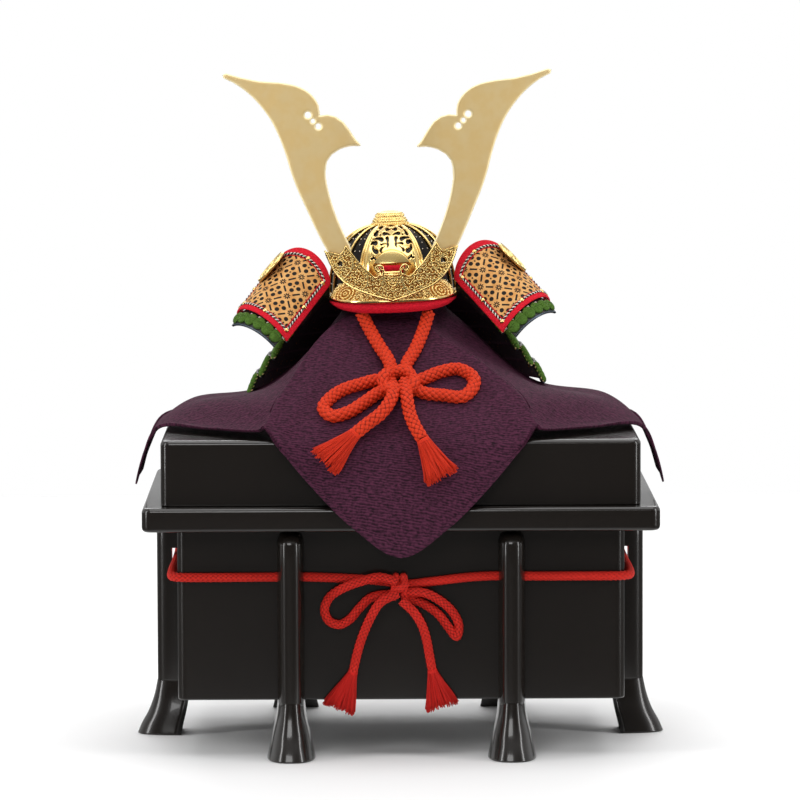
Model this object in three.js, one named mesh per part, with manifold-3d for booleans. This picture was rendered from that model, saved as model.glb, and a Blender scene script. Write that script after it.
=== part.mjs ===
// A miniature samurai helmet on a cloth-covered stand on a black lacquered chest with six legs.
// Millimetres, +Z up, the front faces -Y. The origin is on the floor under the middle of the chest.
// Left means the -X side, as seen from the front.
import * as THREE from 'three';
import { mergeVertices } from 'three/addons/utils/BufferGeometryUtils.js';
import Module from 'manifold-3d';

const wasm = await Module();
wasm.setup();

// Clearances
const GAP = 0.3;

// Chest
const CASE_WIDTH = 304;
const CASE_DEPTH = 234;
const CASE_BOTTOM = 39;
const CASE_HEIGHT = 117;
const CHEST_WALL = 6;
const RIM_OVERHANG = 23;
const RIM_HEIGHT = 16.5;
const LID_INSET = 12.5;
const LID_HEIGHT = 44.5;
const CHEST_CORNER = 7;
const EDGE_ROUND = 3;
const LEG_WIDTH = 18.4;
const LEG_REACH = 18;
const LEG_SPREAD = 75;
const FOOT_WIDTH = 33.3;
const FOOT_REACH = 32.5;
const SLOT_HEIGHT = 18;
const SLOT_MIDDLE = 122;
const SLOT_DEPTH = 7.5;
const CASE_TOP = CASE_BOTTOM + CASE_HEIGHT;
const RIM_TOP = CASE_TOP + RIM_HEIGHT;
const LID_TOP = RIM_TOP + LID_HEIGHT;
const RIM_WIDTH = CASE_WIDTH + 2 * RIM_OVERHANG;
const RIM_DEPTH = CASE_DEPTH + 2 * RIM_OVERHANG;
const LID_WIDTH = RIM_WIDTH - 2 * LID_INSET;
const LID_DEPTH = RIM_DEPTH - 2 * LID_INSET;

// Where the helmet stands and how it leans
const HELMET_SHIFT = -4.2;
const HELMET_RISE = 88;
const HELMET_HEIGHT = LID_TOP + HELMET_RISE;
const HELMET_LEAN = THREE.MathUtils.degToRad(-2.1);

// Bowl
const BOWL_HALF_WIDTH = 43;
const BOWL_HALF_DEPTH = 47;
const BOWL_HEIGHT = 51.5;
const BOWL_WALL = 1.6;
const BOWL_FULLNESS = 2.5;
const RIB_COUNT = 17;
const RIB_WIDTH = 2.2;
const RIB_HEIGHT = 1.1;
const FRONT_PLATE_HALF_TURN = 27;
const FINIAL_RADIUS = 13;
const FINIAL_HEIGHT = 9.6;

// Brim
const BRIM_RADIUS = 47.3;
const BRIM_CENTRE = -12.7;
const BRIM_HALF_TURN = 68;
const BRIM_LIP = 1.5;
const BRIM_TOP = 13;
const BRIM_INNER = 39.8;
const BRIM_EDGE_DEPTH = 7;

// Horns
const HORN_THICKNESS = 1.6;
const RIGHT_HORN_TURN = 2;
const RIGHT_HORN_DROP = 3;
const CREST_FRONT = -61.3;
const CREST_BEND = 110;
const CREST_STRAIGHT = 38;

// Turned-back wings
const WING_RADIUS = 29;
const WING_THICKNESS = 1.6;
const WING_START_TURN = -20;
const WING_END_TURN = 112;
const WING_LENGTH = 56.3;
const ROSETTE_RADIUS = 13.5;

// Neck guard
const LAME_COUNT = 5;
const LAME_THICKNESS = 1.8;
const LAME_STEP = 11.9;
const LAME_HEIGHT = 15;
const GUARD_TOP_RADIUS = 48.3;
const GUARD_BOTTOM_RADIUS = 104;
const GUARD_TOP = 0.6;

// Cloth
const CLOTH_THICKNESS = 1.2;
const CLOTH_TIP = LID_TOP - 78;
const CLOTH_RIDGE_X = 93;
const CLOTH_RIDGE_Y = 125;
const CLOTH_RIDGE_Z = LID_TOP + 9;
const CLOTH_PLEAT = 4;

// Cords
const HELMET_CORD = 9;
const CHEST_CORD = 6.2;

const COLOURS = {
  lacquer: { color: 0x0b0b0d, roughness: 0.18, metalness: 0.0 },
  gold: { color: 0xd9ab45, roughness: 0.28, metalness: 1.0 },
  paleGold: { color: 0xcfb882, roughness: 0.35, metalness: 1.0 },
  leather: { color: 0xd8a565, roughness: 0.7, metalness: 0.0 },
  red: { color: 0xd6172e, roughness: 0.7, metalness: 0.0 },
  green: { color: 0x3f6b25, roughness: 0.85, metalness: 0.0 },
  plum: { color: 0x4a2440, roughness: 0.9, metalness: 0.0 },
  orange: { color: 0xe0401c, roughness: 0.8, metalness: 0.0 },
  scarlet: { color: 0xd02a20, roughness: 0.8, metalness: 0.0 },
  wood: { color: 0x8a6a48, roughness: 0.6, metalness: 0.0 },
};

const chest = new THREE.Group();
const helmet = new THREE.Group();
helmet.position.set(HELMET_SHIFT, 0, HELMET_HEIGHT);
helmet.rotation.y = HELMET_LEAN;

function radians(degrees) {
  return THREE.MathUtils.degToRad(degrees);
}

// Turn a geometry's faces so that they point out of the solid.
function facingOut(geometry) {
  geometry.deleteAttribute('normal');
  geometry.deleteAttribute('uv');
  const merged = mergeVertices(geometry, 1e-4);
  const place = merged.attributes.position;
  const index = Array.from(merged.index.array);
  const kept = [];
  let volume = 0;
  const a = new THREE.Vector3();
  const b = new THREE.Vector3();
  const c = new THREE.Vector3();
  for (let i = 0; i < index.length; i += 3) {
    const [p, q, r] = [index[i], index[i + 1], index[i + 2]];
    if (p === q || q === r || r === p) {
      continue;
    }
    a.fromBufferAttribute(place, p);
    b.fromBufferAttribute(place, q);
    c.fromBufferAttribute(place, r);
    volume += a.dot(b.cross(c));
    kept.push(p, q, r);
  }
  if (volume < 0) {
    for (let i = 0; i < kept.length; i += 3) {
      [kept[i + 1], kept[i + 2]] = [kept[i + 2], kept[i + 1]];
    }
  }
  merged.setIndex(kept);
  return merged;
}

function solid(geometry) {
  const clean = facingOut(geometry);
  return new wasm.Manifold(new wasm.Mesh({
    numProp: 3,
    vertProperties: new Float32Array(clean.attributes.position.array),
    triVerts: new Uint32Array(clean.index.array),
  }));
}

function shapeOf(manifold) {
  const mesh = manifold.getMesh();
  const geometry = new THREE.BufferGeometry();
  geometry.setAttribute('position', new THREE.BufferAttribute(mesh.vertProperties, 3));
  geometry.setIndex(new THREE.BufferAttribute(mesh.triVerts, 1));
  return geometry;
}

function join(geometries) {
  let whole = solid(geometries[0]);
  for (const next of geometries.slice(1)) {
    whole = whole.add(solid(next));
  }
  return shapeOf(whole);
}

function cut(geometry, tools) {
  let whole = solid(geometry);
  for (const tool of tools) {
    whole = whole.subtract(solid(tool));
  }
  return shapeOf(whole);
}

function addPiece(parent, name, geometry, finish) {
  const mesh = new THREE.Mesh(facingOut(geometry), new THREE.MeshStandardMaterial(finish));
  mesh.name = name;
  parent.add(mesh);
  return mesh;
}

// A thin wall with the outer face surface(u, v) and the inner face one thickness below it.
// ring closes the wall round in u, and peak closes it over its first row.
function wall(surface, across, along, thickness, { ring = false, peak = false } = {}) {
  const columns = ring ? across : across + 1;
  const rows = along + 1;
  const at = (i, j) => {
    const u = i / across;
    return surface(ring ? ((u % 1) + 1) % 1 : u, j / along);
  };
  const outer = [];
  const inner = [];
  for (let j = 0; j < rows; j += 1) {
    for (let i = 0; i < columns; i += 1) {
      const here = at(i, j);
      const [i0, i1] = ring ? [i - 1, i + 1] : [Math.max(i - 1, 0), Math.min(i + 1, across)];
      const du = at(i1, j).sub(at(i0, j));
      const dv = at(i, Math.min(j + 1, along)).sub(at(i, Math.max(j - 1, 0)));
      const normal = du.cross(dv).normalize();
      outer.push(here);
      inner.push(here.clone().addScaledVector(normal, -thickness));
    }
  }
  const points = [...outer, ...inner];
  const faces = [];
  const count = columns * rows;
  const id = (i, j) => j * columns + (i % columns);
  const quad = (a, b, c, d) => faces.push(a, b, c, a, c, d);
  const spans = ring ? columns : columns - 1;
  for (let j = 0; j < rows - 1; j += 1) {
    for (let i = 0; i < spans; i += 1) {
      const [a, b, c, d] = [id(i, j), id(i + 1, j), id(i + 1, j + 1), id(i, j + 1)];
      quad(a, b, c, d);
      quad(count + d, count + c, count + b, count + a);
    }
  }
  for (let i = 0; i < spans; i += 1) {
    const last = rows - 1;
    quad(id(i, last), id(i + 1, last), count + id(i + 1, last), count + id(i, last));
    if (!peak) {
      quad(id(i + 1, 0), id(i, 0), count + id(i, 0), count + id(i + 1, 0));
    }
  }
  if (peak) {
    const top = new THREE.Vector3();
    for (let i = 0; i < columns; i += 1) {
      top.addScaledVector(outer[i], 1 / columns);
    }
    points.push(top, top.clone().add(new THREE.Vector3(0, 0, -thickness)));
    for (let i = 0; i < spans; i += 1) {
      faces.push(id(i + 1, 0), id(i, 0), 2 * count);
      faces.push(count + id(i, 0), count + id(i + 1, 0), 2 * count + 1);
    }
  }
  if (!ring) {
    for (let j = 0; j < rows - 1; j += 1) {
      quad(id(0, j), id(0, j + 1), count + id(0, j + 1), count + id(0, j));
      quad(id(across, j + 1), id(across, j), count + id(across, j), count + id(across, j + 1));
    }
  }
  const geometry = new THREE.BufferGeometry();
  const flat = points.flatMap((p) => [p.x, p.y, p.z]);
  geometry.setAttribute('position', new THREE.Float32BufferAttribute(flat, 3));
  geometry.setIndex(faces);
  return geometry;
}

// A solid through flat rings of points that all have the same count.
function loft(rings) {
  const size = rings[0].length;
  const points = rings.flat();
  const faces = [];
  for (let j = 0; j < rings.length - 1; j += 1) {
    for (let i = 0; i < size; i += 1) {
      const [a, b] = [j * size + i, j * size + ((i + 1) % size)];
      faces.push(a, b, b + size, a, b + size, a + size);
    }
  }
  const last = (rings.length - 1) * size;
  for (let i = 1; i < size - 1; i += 1) {
    faces.push(0, i + 1, i);
    faces.push(last, last + i, last + i + 1);
  }
  const geometry = new THREE.BufferGeometry();
  const flat = points.flatMap((p) => [p.x, p.y, p.z]);
  geometry.setAttribute('position', new THREE.Float32BufferAttribute(flat, 3));
  geometry.setIndex(faces);
  return geometry;
}

function roundedRectangle(width, depth, corner) {
  const shape = new THREE.Shape();
  const [x, y] = [width / 2, depth / 2];
  shape.moveTo(-x + corner, -y);
  shape.lineTo(x - corner, -y);
  shape.absarc(x - corner, -y + corner, corner, -Math.PI / 2, 0);
  shape.lineTo(x, y - corner);
  shape.absarc(x - corner, y - corner, corner, 0, Math.PI / 2);
  shape.lineTo(-x + corner, y);
  shape.absarc(-x + corner, y - corner, corner, Math.PI / 2, Math.PI);
  shape.lineTo(-x, -y + corner);
  shape.absarc(-x + corner, -y + corner, corner, Math.PI, Math.PI * 1.5);
  return shape;
}

function slab(shape, height, bottom, bevel = 0) {
  const geometry = new THREE.ExtrudeGeometry(shape, {
    depth: height - 2 * bevel,
    bevelEnabled: bevel > 0,
    bevelThickness: bevel,
    bevelSize: bevel,
    bevelOffset: -bevel,
    bevelSegments: 1,
    curveSegments: 2,
  });
  geometry.translate(0, 0, bottom + bevel);
  return geometry;
}

// A curve that is sampled evenly between its points, so that its bends get their own steps.
class Route extends THREE.CatmullRomCurve3 {
  getPointAt(t, target) {
    return this.getPoint(t, target);
  }

  getTangentAt(t, target) {
    return this.getTangent(t, target);
  }
}

function tube(points, diameter, stepsPerSpan = 1, sides = 8) {
  const path = new Route(points.map((p) => new THREE.Vector3(...p)), false, 'centripetal');
  const ring = new THREE.Shape();
  for (let i = 0; i < sides; i += 1) {
    const angle = (2 * Math.PI * i) / sides;
    const [x, y] = [Math.cos(angle) * diameter / 2, Math.sin(angle) * diameter / 2];
    if (i === 0) {
      ring.moveTo(x, y);
    } else {
      ring.lineTo(x, y);
    }
  }
  ring.closePath();
  const steps = Math.round((points.length - 1) * stepsPerSpan);
  return new THREE.ExtrudeGeometry(ring, { steps, extrudePath: path, bevelEnabled: false });
}

function turned(profile, segments) {
  const geometry = new THREE.LatheGeometry(profile.map(([r, z]) => new THREE.Vector2(r, z)), segments);
  geometry.rotateX(Math.PI / 2);
  return geometry;
}

// Chest
function buildCase() {
  const walls = roundedRectangle(CASE_WIDTH, CASE_DEPTH, CHEST_CORNER);
  const inside = roundedRectangle(
    CASE_WIDTH - 2 * CHEST_WALL, CASE_DEPTH - 2 * CHEST_WALL, CHEST_CORNER - 3);
  const hollow = slab(inside, CASE_HEIGHT, CASE_BOTTOM + CHEST_WALL);
  return cut(slab(walls, CASE_HEIGHT, CASE_BOTTOM), [hollow]);
}

function buildRim() {
  const outside = roundedRectangle(RIM_WIDTH, RIM_DEPTH, CHEST_CORNER);
  const inside = roundedRectangle(
    CASE_WIDTH - 2 * CHEST_WALL, CASE_DEPTH - 2 * CHEST_WALL, CHEST_CORNER - 3);
  const opening = slab(inside, RIM_HEIGHT + 2, CASE_TOP - 1);
  return cut(slab(outside, RIM_HEIGHT, CASE_TOP, EDGE_ROUND), [opening]);
}

function buildLid() {
  const outside = roundedRectangle(LID_WIDTH, LID_DEPTH, CHEST_CORNER);
  const inside = roundedRectangle(
    LID_WIDTH - 2 * CHEST_WALL, LID_DEPTH - 2 * CHEST_WALL, CHEST_CORNER - 3);
  const whole = slab(outside, LID_HEIGHT + EDGE_ROUND, RIM_TOP - EDGE_ROUND, EDGE_ROUND);
  const below = slab(roundedRectangle(RIM_WIDTH, RIM_DEPTH, 1), EDGE_ROUND + 1, RIM_TOP - EDGE_ROUND - 1);
  const hollow = slab(inside, LID_HEIGHT - CHEST_WALL + 1, RIM_TOP - 1);
  return cut(whole, [below, hollow]);
}

// One leg stands against a wall in the plane x = 0 and reaches out along +x.
// Columns: height above the floor, half width, reach from the wall, back face from the wall.
const LEG_ROWS = [
  { height: 0, half: FOOT_WIDTH / 2, reach: FOOT_REACH, back: 1.5 },
  { height: 7, half: FOOT_WIDTH / 2 - 1.6, reach: FOOT_REACH - 3, back: 0.2 },
  { height: 16, half: LEG_WIDTH / 2 + 4, reach: FOOT_REACH - 8, back: -2 },
  { height: 27, half: LEG_WIDTH / 2 + 1.4, reach: LEG_REACH + 2.5, back: -4 },
  { height: CASE_BOTTOM - 2 * GAP, half: LEG_WIDTH / 2, reach: LEG_REACH, back: -6 },
  { height: CASE_BOTTOM - GAP, half: LEG_WIDTH / 2, reach: LEG_REACH, back: GAP },
  { height: CASE_TOP - 9, half: LEG_WIDTH / 2, reach: LEG_REACH, back: GAP },
  { height: CASE_TOP - 4, half: LEG_WIDTH / 2 - 1, reach: LEG_REACH - 3, back: GAP },
  { height: CASE_TOP - 1.5, half: LEG_WIDTH / 2 - 4, reach: LEG_REACH - 9, back: GAP },
];
const LEG_SIDES = 6;

function buildLeg() {
  const rings = LEG_ROWS.map((row) => {
    const ring = [];
    for (let i = 0; i <= LEG_SIDES; i += 1) {
      const angle = (Math.PI * i) / LEG_SIDES - Math.PI / 2;
      const x = row.back + (row.reach - row.back) * Math.cos(angle);
      ring.push(new THREE.Vector3(x, row.half * Math.sin(angle), row.height));
    }
    return ring;
  });
  const slot = new THREE.BoxGeometry(2 * SLOT_DEPTH, 2 * FOOT_WIDTH, SLOT_HEIGHT);
  slot.translate(0, 0, SLOT_MIDDLE);
  return cut(loft(rings), [slot]);
}

addPiece(chest, 'chest_case', buildCase(), COLOURS.lacquer);
addPiece(chest, 'chest_rim', buildRim(), COLOURS.lacquer);
addPiece(chest, 'chest_lid', buildLid(), COLOURS.lacquer);

// Columns: name, place against the wall, quarter turns about Z.
const LEGS = [
  { name: 'leg_side_right', x: CASE_WIDTH / 2, y: 0, quarters: 0 },
  { name: 'leg_back_right', x: LEG_SPREAD, y: CASE_DEPTH / 2, quarters: 1 },
  { name: 'leg_back_left', x: -LEG_SPREAD, y: CASE_DEPTH / 2, quarters: 1 },
  { name: 'leg_side_left', x: -CASE_WIDTH / 2, y: 0, quarters: 2 },
  { name: 'leg_front_left', x: -LEG_SPREAD, y: -CASE_DEPTH / 2, quarters: 3 },
  { name: 'leg_front_right', x: LEG_SPREAD, y: -CASE_DEPTH / 2, quarters: 3 },
];
for (const row of LEGS) {
  const leg = addPiece(chest, row.name, buildLeg(), COLOURS.lacquer);
  leg.position.set(row.x, row.y, 0);
  leg.rotation.z = row.quarters * Math.PI / 2;
}

// Hidden post that carries the cloth and the helmet
const POST_TOP = HELMET_HEIGHT + BOWL_HEIGHT - BOWL_WALL - CLOTH_THICKNESS - 2 - GAP;
const POST_HEAD_RADIUS = 17;
const POST_SHIFT = HELMET_SHIFT + Math.sin(HELMET_LEAN) * BOWL_HEIGHT * 0.6;
const POST_PROFILE = [
  [0, LID_TOP], [42, LID_TOP], [42, LID_TOP + 6], [9, LID_TOP + 8],
  [9, POST_TOP - 26], [POST_HEAD_RADIUS, POST_TOP - 20], [POST_HEAD_RADIUS, POST_TOP - 8],
  [POST_HEAD_RADIUS - 5, POST_TOP], [0, POST_TOP],
];
addPiece(chest, 'stand_post', turned(POST_PROFILE, 12), COLOURS.wood).position.x = POST_SHIFT;

// Cloth: a square laid corner to the front over the post, its front corner over the front of the
// lid, its side corners over the ends. One quarter is worked out and mirrored.
// The heights of the cloth and of its cord are drawn for one height of the lid and one rise of the
// helmet over it. Other sizes carry them along.
const DRAWN = { lid: 217, rise: 88 };

function carried(z) {
  const over = z - DRAWN.lid;
  return LID_TOP + over * (over > 0 ? HELMET_RISE / DRAWN.rise : 1);
}

// Columns: share of the way from the ridge to the side, then the hem's place.
const HEM_ROWS = [
  { share: 0, x: CLOTH_RIDGE_X + 1.5, y: CLOTH_RIDGE_Y - 1, z: CLOTH_RIDGE_Z - CLOTH_PLEAT },
  { share: 0.3, x: 129, y: 85, z: carried(222) },
  { share: 0.6, x: 167.5, y: 45, z: carried(220) },
  { share: 0.8, x: 178, y: 26, z: carried(197) },
  { share: 1, x: 184, y: 0, z: carried(175) },
];
// Shares of the way from the middle of the front to the ridge.
const FRONT_SHARES = [0, 0.35, 0.65, 0.87, 1];
// The stations of a line, and the half steps between them, that the cloth's rows go through.
const CLOTH_STATIONS = [0, 1, 2, 3, 4, 4.5, 5, 6, 7, 8, 9];
const CLOTH_EDGE_Y = LID_DEPTH / 2 + 3;
const CLOTH_RIM_Y = RIM_DEPTH / 2 + 3;

function hemRow(share) {
  let next = 1;
  while (next < HEM_ROWS.length - 1 && share > HEM_ROWS[next].share) {
    next += 1;
  }
  const [a, b] = [HEM_ROWS[next - 1], HEM_ROWS[next]];
  const t = (share - a.share) / (b.share - a.share);
  const mix = (key) => a[key] + (b[key] - a[key]) * t;
  return new THREE.Vector3(mix('x'), mix('y'), mix('z'));
}

const HEAD = POST_HEAD_RADIUS + CLOTH_THICKNESS + 1;
const HEAD_TOP = POST_TOP + CLOTH_THICKNESS + GAP;

function roundPoint(angle, radius, height) {
  return new THREE.Vector3(radius * Math.sin(angle), radius * Math.cos(angle), height);
}

// The cloth over the post's head and down through the open bottom of the bowl.
function headStations(angle) {
  const stations = [
    roundPoint(angle, HEAD - 6, HEAD_TOP),
    roundPoint(angle, HEAD + 1, HEAD_TOP - 7),
    roundPoint(angle, HEAD + 3, POST_TOP - 24),
    roundPoint(angle, HEAD + 13, HELMET_HEIGHT - 2),
  ];
  return stations;
}

// How far out the hanging front corner is at a height.
function fallY(z) {
  if (z > RIM_TOP + 1) {
    const t = (LID_TOP - z) / (LID_TOP - RIM_TOP - 1);
    return CLOTH_EDGE_Y + (CLOTH_RIM_Y - CLOTH_EDGE_Y) * Math.max(t, 0);
  }
  return CLOTH_RIM_Y + (RIM_TOP + 1 - z) * 0.05;
}

// One line of the cloth from the post's head to the hem, share 0 at the middle of the front or
// the back and 1 at the ridge. Behind, the cloth keeps inside the round neck guard.
function frontLine(share, back) {
  const angle = share * Math.PI / 4;
  const hemZ = CLOTH_TIP + (CLOTH_RIDGE_Z - CLOTH_TIP) * share ** 1.4;
  const x = CLOTH_RIDGE_X * share;
  const shoulder = back
    ? roundPoint(angle, 50, carried(284)) : new THREE.Vector3(48 * share, 46, carried(286));
  const middle = back
    ? roundPoint(angle, 94, carried(231)) : new THREE.Vector3(75 * share, 90, carried(250));
  const hem = new THREE.Vector3(x, hemZ > LID_TOP ? CLOTH_RIDGE_Y : fallY(hemZ), hemZ);
  const stations = [...headStations(angle), shoulder, middle];
  if (hemZ > LID_TOP) {
    stations.push(...[0.55, 0.9, 0.95].map((t) => middle.clone().lerp(hem, t)));
  } else {
    const low = hemZ > RIM_TOP ? (LID_TOP + hemZ) / 2 : RIM_TOP + 1;
    stations.push(new THREE.Vector3(x * 0.96, LID_DEPTH / 2 - 4, LID_TOP + 5.5));
    stations.push(new THREE.Vector3(x, CLOTH_EDGE_Y, LID_TOP - 1));
    stations.push(new THREE.Vector3(x, fallY(low), low));
  }
  return [...stations, hem];
}

// The same from the ridge, share 0, to the middle of the side, share 1.
function sideLine(share, back) {
  const angle = Math.PI / 4 + share * Math.PI / 4;
  const hem = hemRow(share);
  const onLid = hem.z > LID_TOP;
  const shoulder = back
    ? roundPoint(angle, 50, carried(284) - CLOTH_PLEAT * 0.2)
    : new THREE.Vector3(48, 46 * (1 - share), carried(286) - CLOTH_PLEAT * 0.2);
  const middle = back
    ? roundPoint(angle, 94, carried(231) - CLOTH_PLEAT * 0.5 * (1 - share))
    : new THREE.Vector3(75 + 19 * (1 - (1 - share) ** 2), 90 * (1 - share),
      carried(248.5 - 17.5 * share ** 0.7));
  const over = new THREE.Vector3(LID_WIDTH / 2 + 3, hem.y, LID_TOP + 3);
  const end = onLid ? hem : over;
  const near = middle.clone().lerp(end, onLid ? 0.55 : 0.7);
  const ends = onLid
    ? [middle.clone().lerp(hem, 0.9), middle.clone().lerp(hem, 0.95)]
    : [over, over.clone().lerp(hem, 0.4).add(new THREE.Vector3(2, 0, 0))];
  return [...headStations(angle), shoulder, middle, near, ...ends, hem];
}

function clothLines() {
  const quarter = (back) => {
    const lines = [];
    for (const share of FRONT_SHARES) {
      lines.push(frontLine(share, back));
    }
    for (const row of HEM_ROWS) {
      lines.push(sideLine(row.share, back));
    }
    return lines;
  };
  const mirror = (line, sx, sy) => line.map((p) => new THREE.Vector3(sx * p.x, sy * p.y, p.z));
  const half = quarter(false).map((line) => mirror(line, 1, -1));
  for (const line of quarter(true).slice(0, -1).reverse()) {
    half.push(mirror(line, 1, 1));
  }
  const round = [...half];
  for (const line of half.slice(1, -1).reverse()) {
    round.push(mirror(line, -1, 1));
  }
  for (const line of round) {
    line.slice(0, 4).forEach((p, i) => p.add(new THREE.Vector3(POST_SHIFT * (1 - i / 8), 0, 0)));
  }
  return round.map((line) => new THREE.CatmullRomCurve3(line, false, 'centripetal'));
}

const CLOTH_LINES = clothLines();
addPiece(chest, 'cloth', wall(
  (u, v) => {
    const line = CLOTH_LINES[Math.round(u * CLOTH_LINES.length) % CLOTH_LINES.length];
    const station = CLOTH_STATIONS[Math.round(v * (CLOTH_STATIONS.length - 1))];
    return line.getPoint(station / (line.points.length - 1));
  },
  CLOTH_LINES.length, CLOTH_STATIONS.length - 1, -CLOTH_THICKNESS, { ring: true, peak: true },
), COLOURS.plum);

// A point on the bowl: turn is counted from the front, rise runs from 0 at the rim to 1 at the top.
const BOWL_STEPS = 6;

function bowlPoint(turn, rise, lift, wallIn = 0) {
  const angle = (Math.PI / 2) * (1 - rise);
  const power = 2 / BOWL_FULLNESS;
  const [across, up] = [Math.sin(angle) ** power, Math.cos(angle) ** power];
  const slope = [across ** (BOWL_FULLNESS - 1) / BOWL_HALF_WIDTH,
    up ** (BOWL_FULLNESS - 1) / BOWL_HEIGHT];
  const length = Math.hypot(...slope);
  const out = lift * slope[0] / length;
  return new THREE.Vector3(
    ((BOWL_HALF_WIDTH - wallIn) * across + out) * Math.sin(turn),
    -((BOWL_HALF_DEPTH - wallIn) * across + out) * Math.cos(turn),
    (BOWL_HEIGHT - wallIn) * up + lift * slope[1] / length);
}

function buildBowl() {
  const section = (wallIn) => {
    const points = [];
    for (let i = 0; i <= BOWL_STEPS; i += 1) {
      const p = bowlPoint(Math.PI / 2, i / BOWL_STEPS, 0, wallIn);
      points.push([i === BOWL_STEPS ? 0 : p.x, p.z]);
    }
    return points;
  };
  const geometry = turned([...section(0).reverse(), ...section(BOWL_WALL)], 22);
  geometry.scale(1, BOWL_HALF_DEPTH / BOWL_HALF_WIDTH, 1);
  return geometry;
}

const RIB_STEPS = 5;
const BAND_RISE = 0.04;
const RIB_START = radians(FRONT_PLATE_HALF_TURN + 4.5);

function buildRibs() {
  const lift = GAP + RIB_HEIGHT;
  const pieces = [];
  for (let i = 0; i < RIB_COUNT; i += 1) {
    const turn = RIB_START + (2 * Math.PI - 2 * RIB_START) * (i / (RIB_COUNT - 1));
    pieces.push(wall((u, v) => {
      const rise = v * RIB_STEPS / BOWL_STEPS;
      const radius = bowlPoint(Math.PI / 2, rise, 0).x;
      return bowlPoint(turn + (u - 0.5) * RIB_WIDTH / radius, rise, lift);
    }, 1, RIB_STEPS, RIB_HEIGHT));
  }
  pieces.push(wall((u, v) => bowlPoint(-2 * Math.PI * u, v * BAND_RISE, lift + 0.3), 20, 1,
    -RIB_HEIGHT, { ring: true }));
  return join(pieces);
}

// Pierced plate on the front of the bowl, with a smooth bulge low down.
const PLATE_THICKNESS = 0.9;

function platePoint(u, v) {
  const turn = radians(FRONT_PLATE_HALF_TURN) * (2 * u - 1);
  const bulge = Math.exp(-(((v - 0.3) / 0.16) ** 2)) * Math.cos(Math.PI * (u - 0.5)) ** 2 * 2.6;
  const rise = (0.5 + 4.2 * v) / BOWL_STEPS;
  return bowlPoint(turn, rise, GAP + PLATE_THICKNESS + 0.3 + bulge);
}

// Columns: place across the plate, place up the plate, half width and half height in millimetres.
const PLATE_HOLES = [
  { u: 0.16, v: 0.44, w: 1.6, h: 2.4 },
  { u: 0.33, v: 0.52, w: 1.9, h: 1.5 },
  { u: 0.18, v: 0.62, w: 1.7, h: 1.9 },
  { u: 0.40, v: 0.66, w: 1.7, h: 1.5 },
  { u: 0.14, v: 0.24, w: 1.8, h: 1.2 },
];

function rod(x, z, halfWidth, halfHeight) {
  const geometry = new THREE.CylinderGeometry(1, 1, 60, 6);
  geometry.scale(halfWidth, 1, halfHeight);
  geometry.translate(x, -CREST_BEND / 2, z);
  return geometry;
}

function buildFrontPlate() {
  const plate = wall(platePoint, 7, 6, PLATE_THICKNESS);
  const tools = [];
  for (const hole of PLATE_HOLES) {
    for (const u of [hole.u, 1 - hole.u]) {
      const middle = platePoint(u, hole.v);
      tools.push(rod(middle.x, middle.z, hole.w, hole.h));
    }
  }
  return cut(plate, tools);
}

function buildFinial() {
  const r = FINIAL_RADIUS;
  const base = BOWL_HEIGHT + GAP;
  const seat = r * 0.62;
  const under = RIB_HEIGHT + 2 * GAP;
  const h = FINIAL_HEIGHT - 1;
  return turned([
    [0, base], [seat, base], [seat, base + under], [r, base + under], [r - 1.4, base + 2.8],
    [r - 1.6, base + 5], [r - 0.8, base + 5.6], [r - 4, base + 7.2], [r - 5, base + h - 0.6],
    [r - 8, base + h], [0, base + h],
  ], 14);
}

// Brim: a pierced gold plate over a rolled red edge, both on one arc in plan.
function brimPoint(turn, radius, height) {
  return new THREE.Vector3(radius * Math.sin(turn), BRIM_CENTRE - radius * Math.cos(turn), height);
}

function buildBrimPlate() {
  const half = radians(BRIM_HALF_TURN);
  const plate = wall((u, v) => {
    const turn = half * (2 * u - 1);
    const side = Math.abs(2 * u - 1) ** 4;
    const radius = BRIM_RADIUS - (BRIM_RADIUS - BRIM_INNER) * v;
    const height = BRIM_LIP + side * 2 + (BRIM_TOP - BRIM_LIP - side * 3) * v ** 0.9;
    return brimPoint(turn, radius, height);
  }, 16, 2, 1);
  const tools = [];
  for (let i = 0; i < 5; i += 1) {
    const turn = half * 0.85 * (i / 2 - 1);
    for (const row of [0.32, 0.68]) {
      const radius = BRIM_RADIUS - (BRIM_RADIUS - BRIM_INNER) * row;
      const hole = new THREE.CylinderGeometry(1.1, 1.1, 12, 5);
      hole.rotateX(Math.PI / 2);
      hole.rotateX(Math.PI / 4);
      hole.rotateZ(turn);
      const shift = row > 0.5 ? half * 0.1 : 0;
      const middle = brimPoint(turn + shift, radius, BRIM_LIP + (BRIM_TOP - BRIM_LIP) * row);
      hole.translate(middle.x, middle.y, middle.z);
      tools.push(hole);
    }
  }
  return cut(plate, tools);
}

function buildBrimEdge() {
  const half = radians(BRIM_HALF_TURN);
  return wall((u, v) => {
    const side = Math.abs(2 * u - 1);
    const depth = BRIM_EDGE_DEPTH * (1 - 0.55 * side ** 3);
    const angle = v * Math.PI;
    const radius = BRIM_RADIUS + 0.4 - depth * 0.35 * (1 - Math.sin(angle)) - 1.5 * v;
    return brimPoint(half * (2 * u - 1), radius, BRIM_LIP + 2 * side ** 4 - 1.3 - depth * v);
  }, 16, 3, -1.6);
}

// Front crest: a gold base with two sockets, and two horns. All follow one bend in plan.
function crestBack(x) {
  const near = Math.min(Math.abs(x), CREST_STRAIGHT);
  const far = Math.abs(x) - near;
  return CREST_FRONT + near ** 2 / (2 * CREST_BEND) + far * CREST_STRAIGHT / CREST_BEND;
}

function bent(geometry) {
  const place = geometry.attributes.position;
  for (let i = 0; i < place.count; i += 1) {
    const [x, z, depth] = [place.getX(i), place.getY(i), place.getZ(i)];
    place.setXYZ(i, x, crestBack(x) + depth, z);
  }
  return geometry;
}

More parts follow.
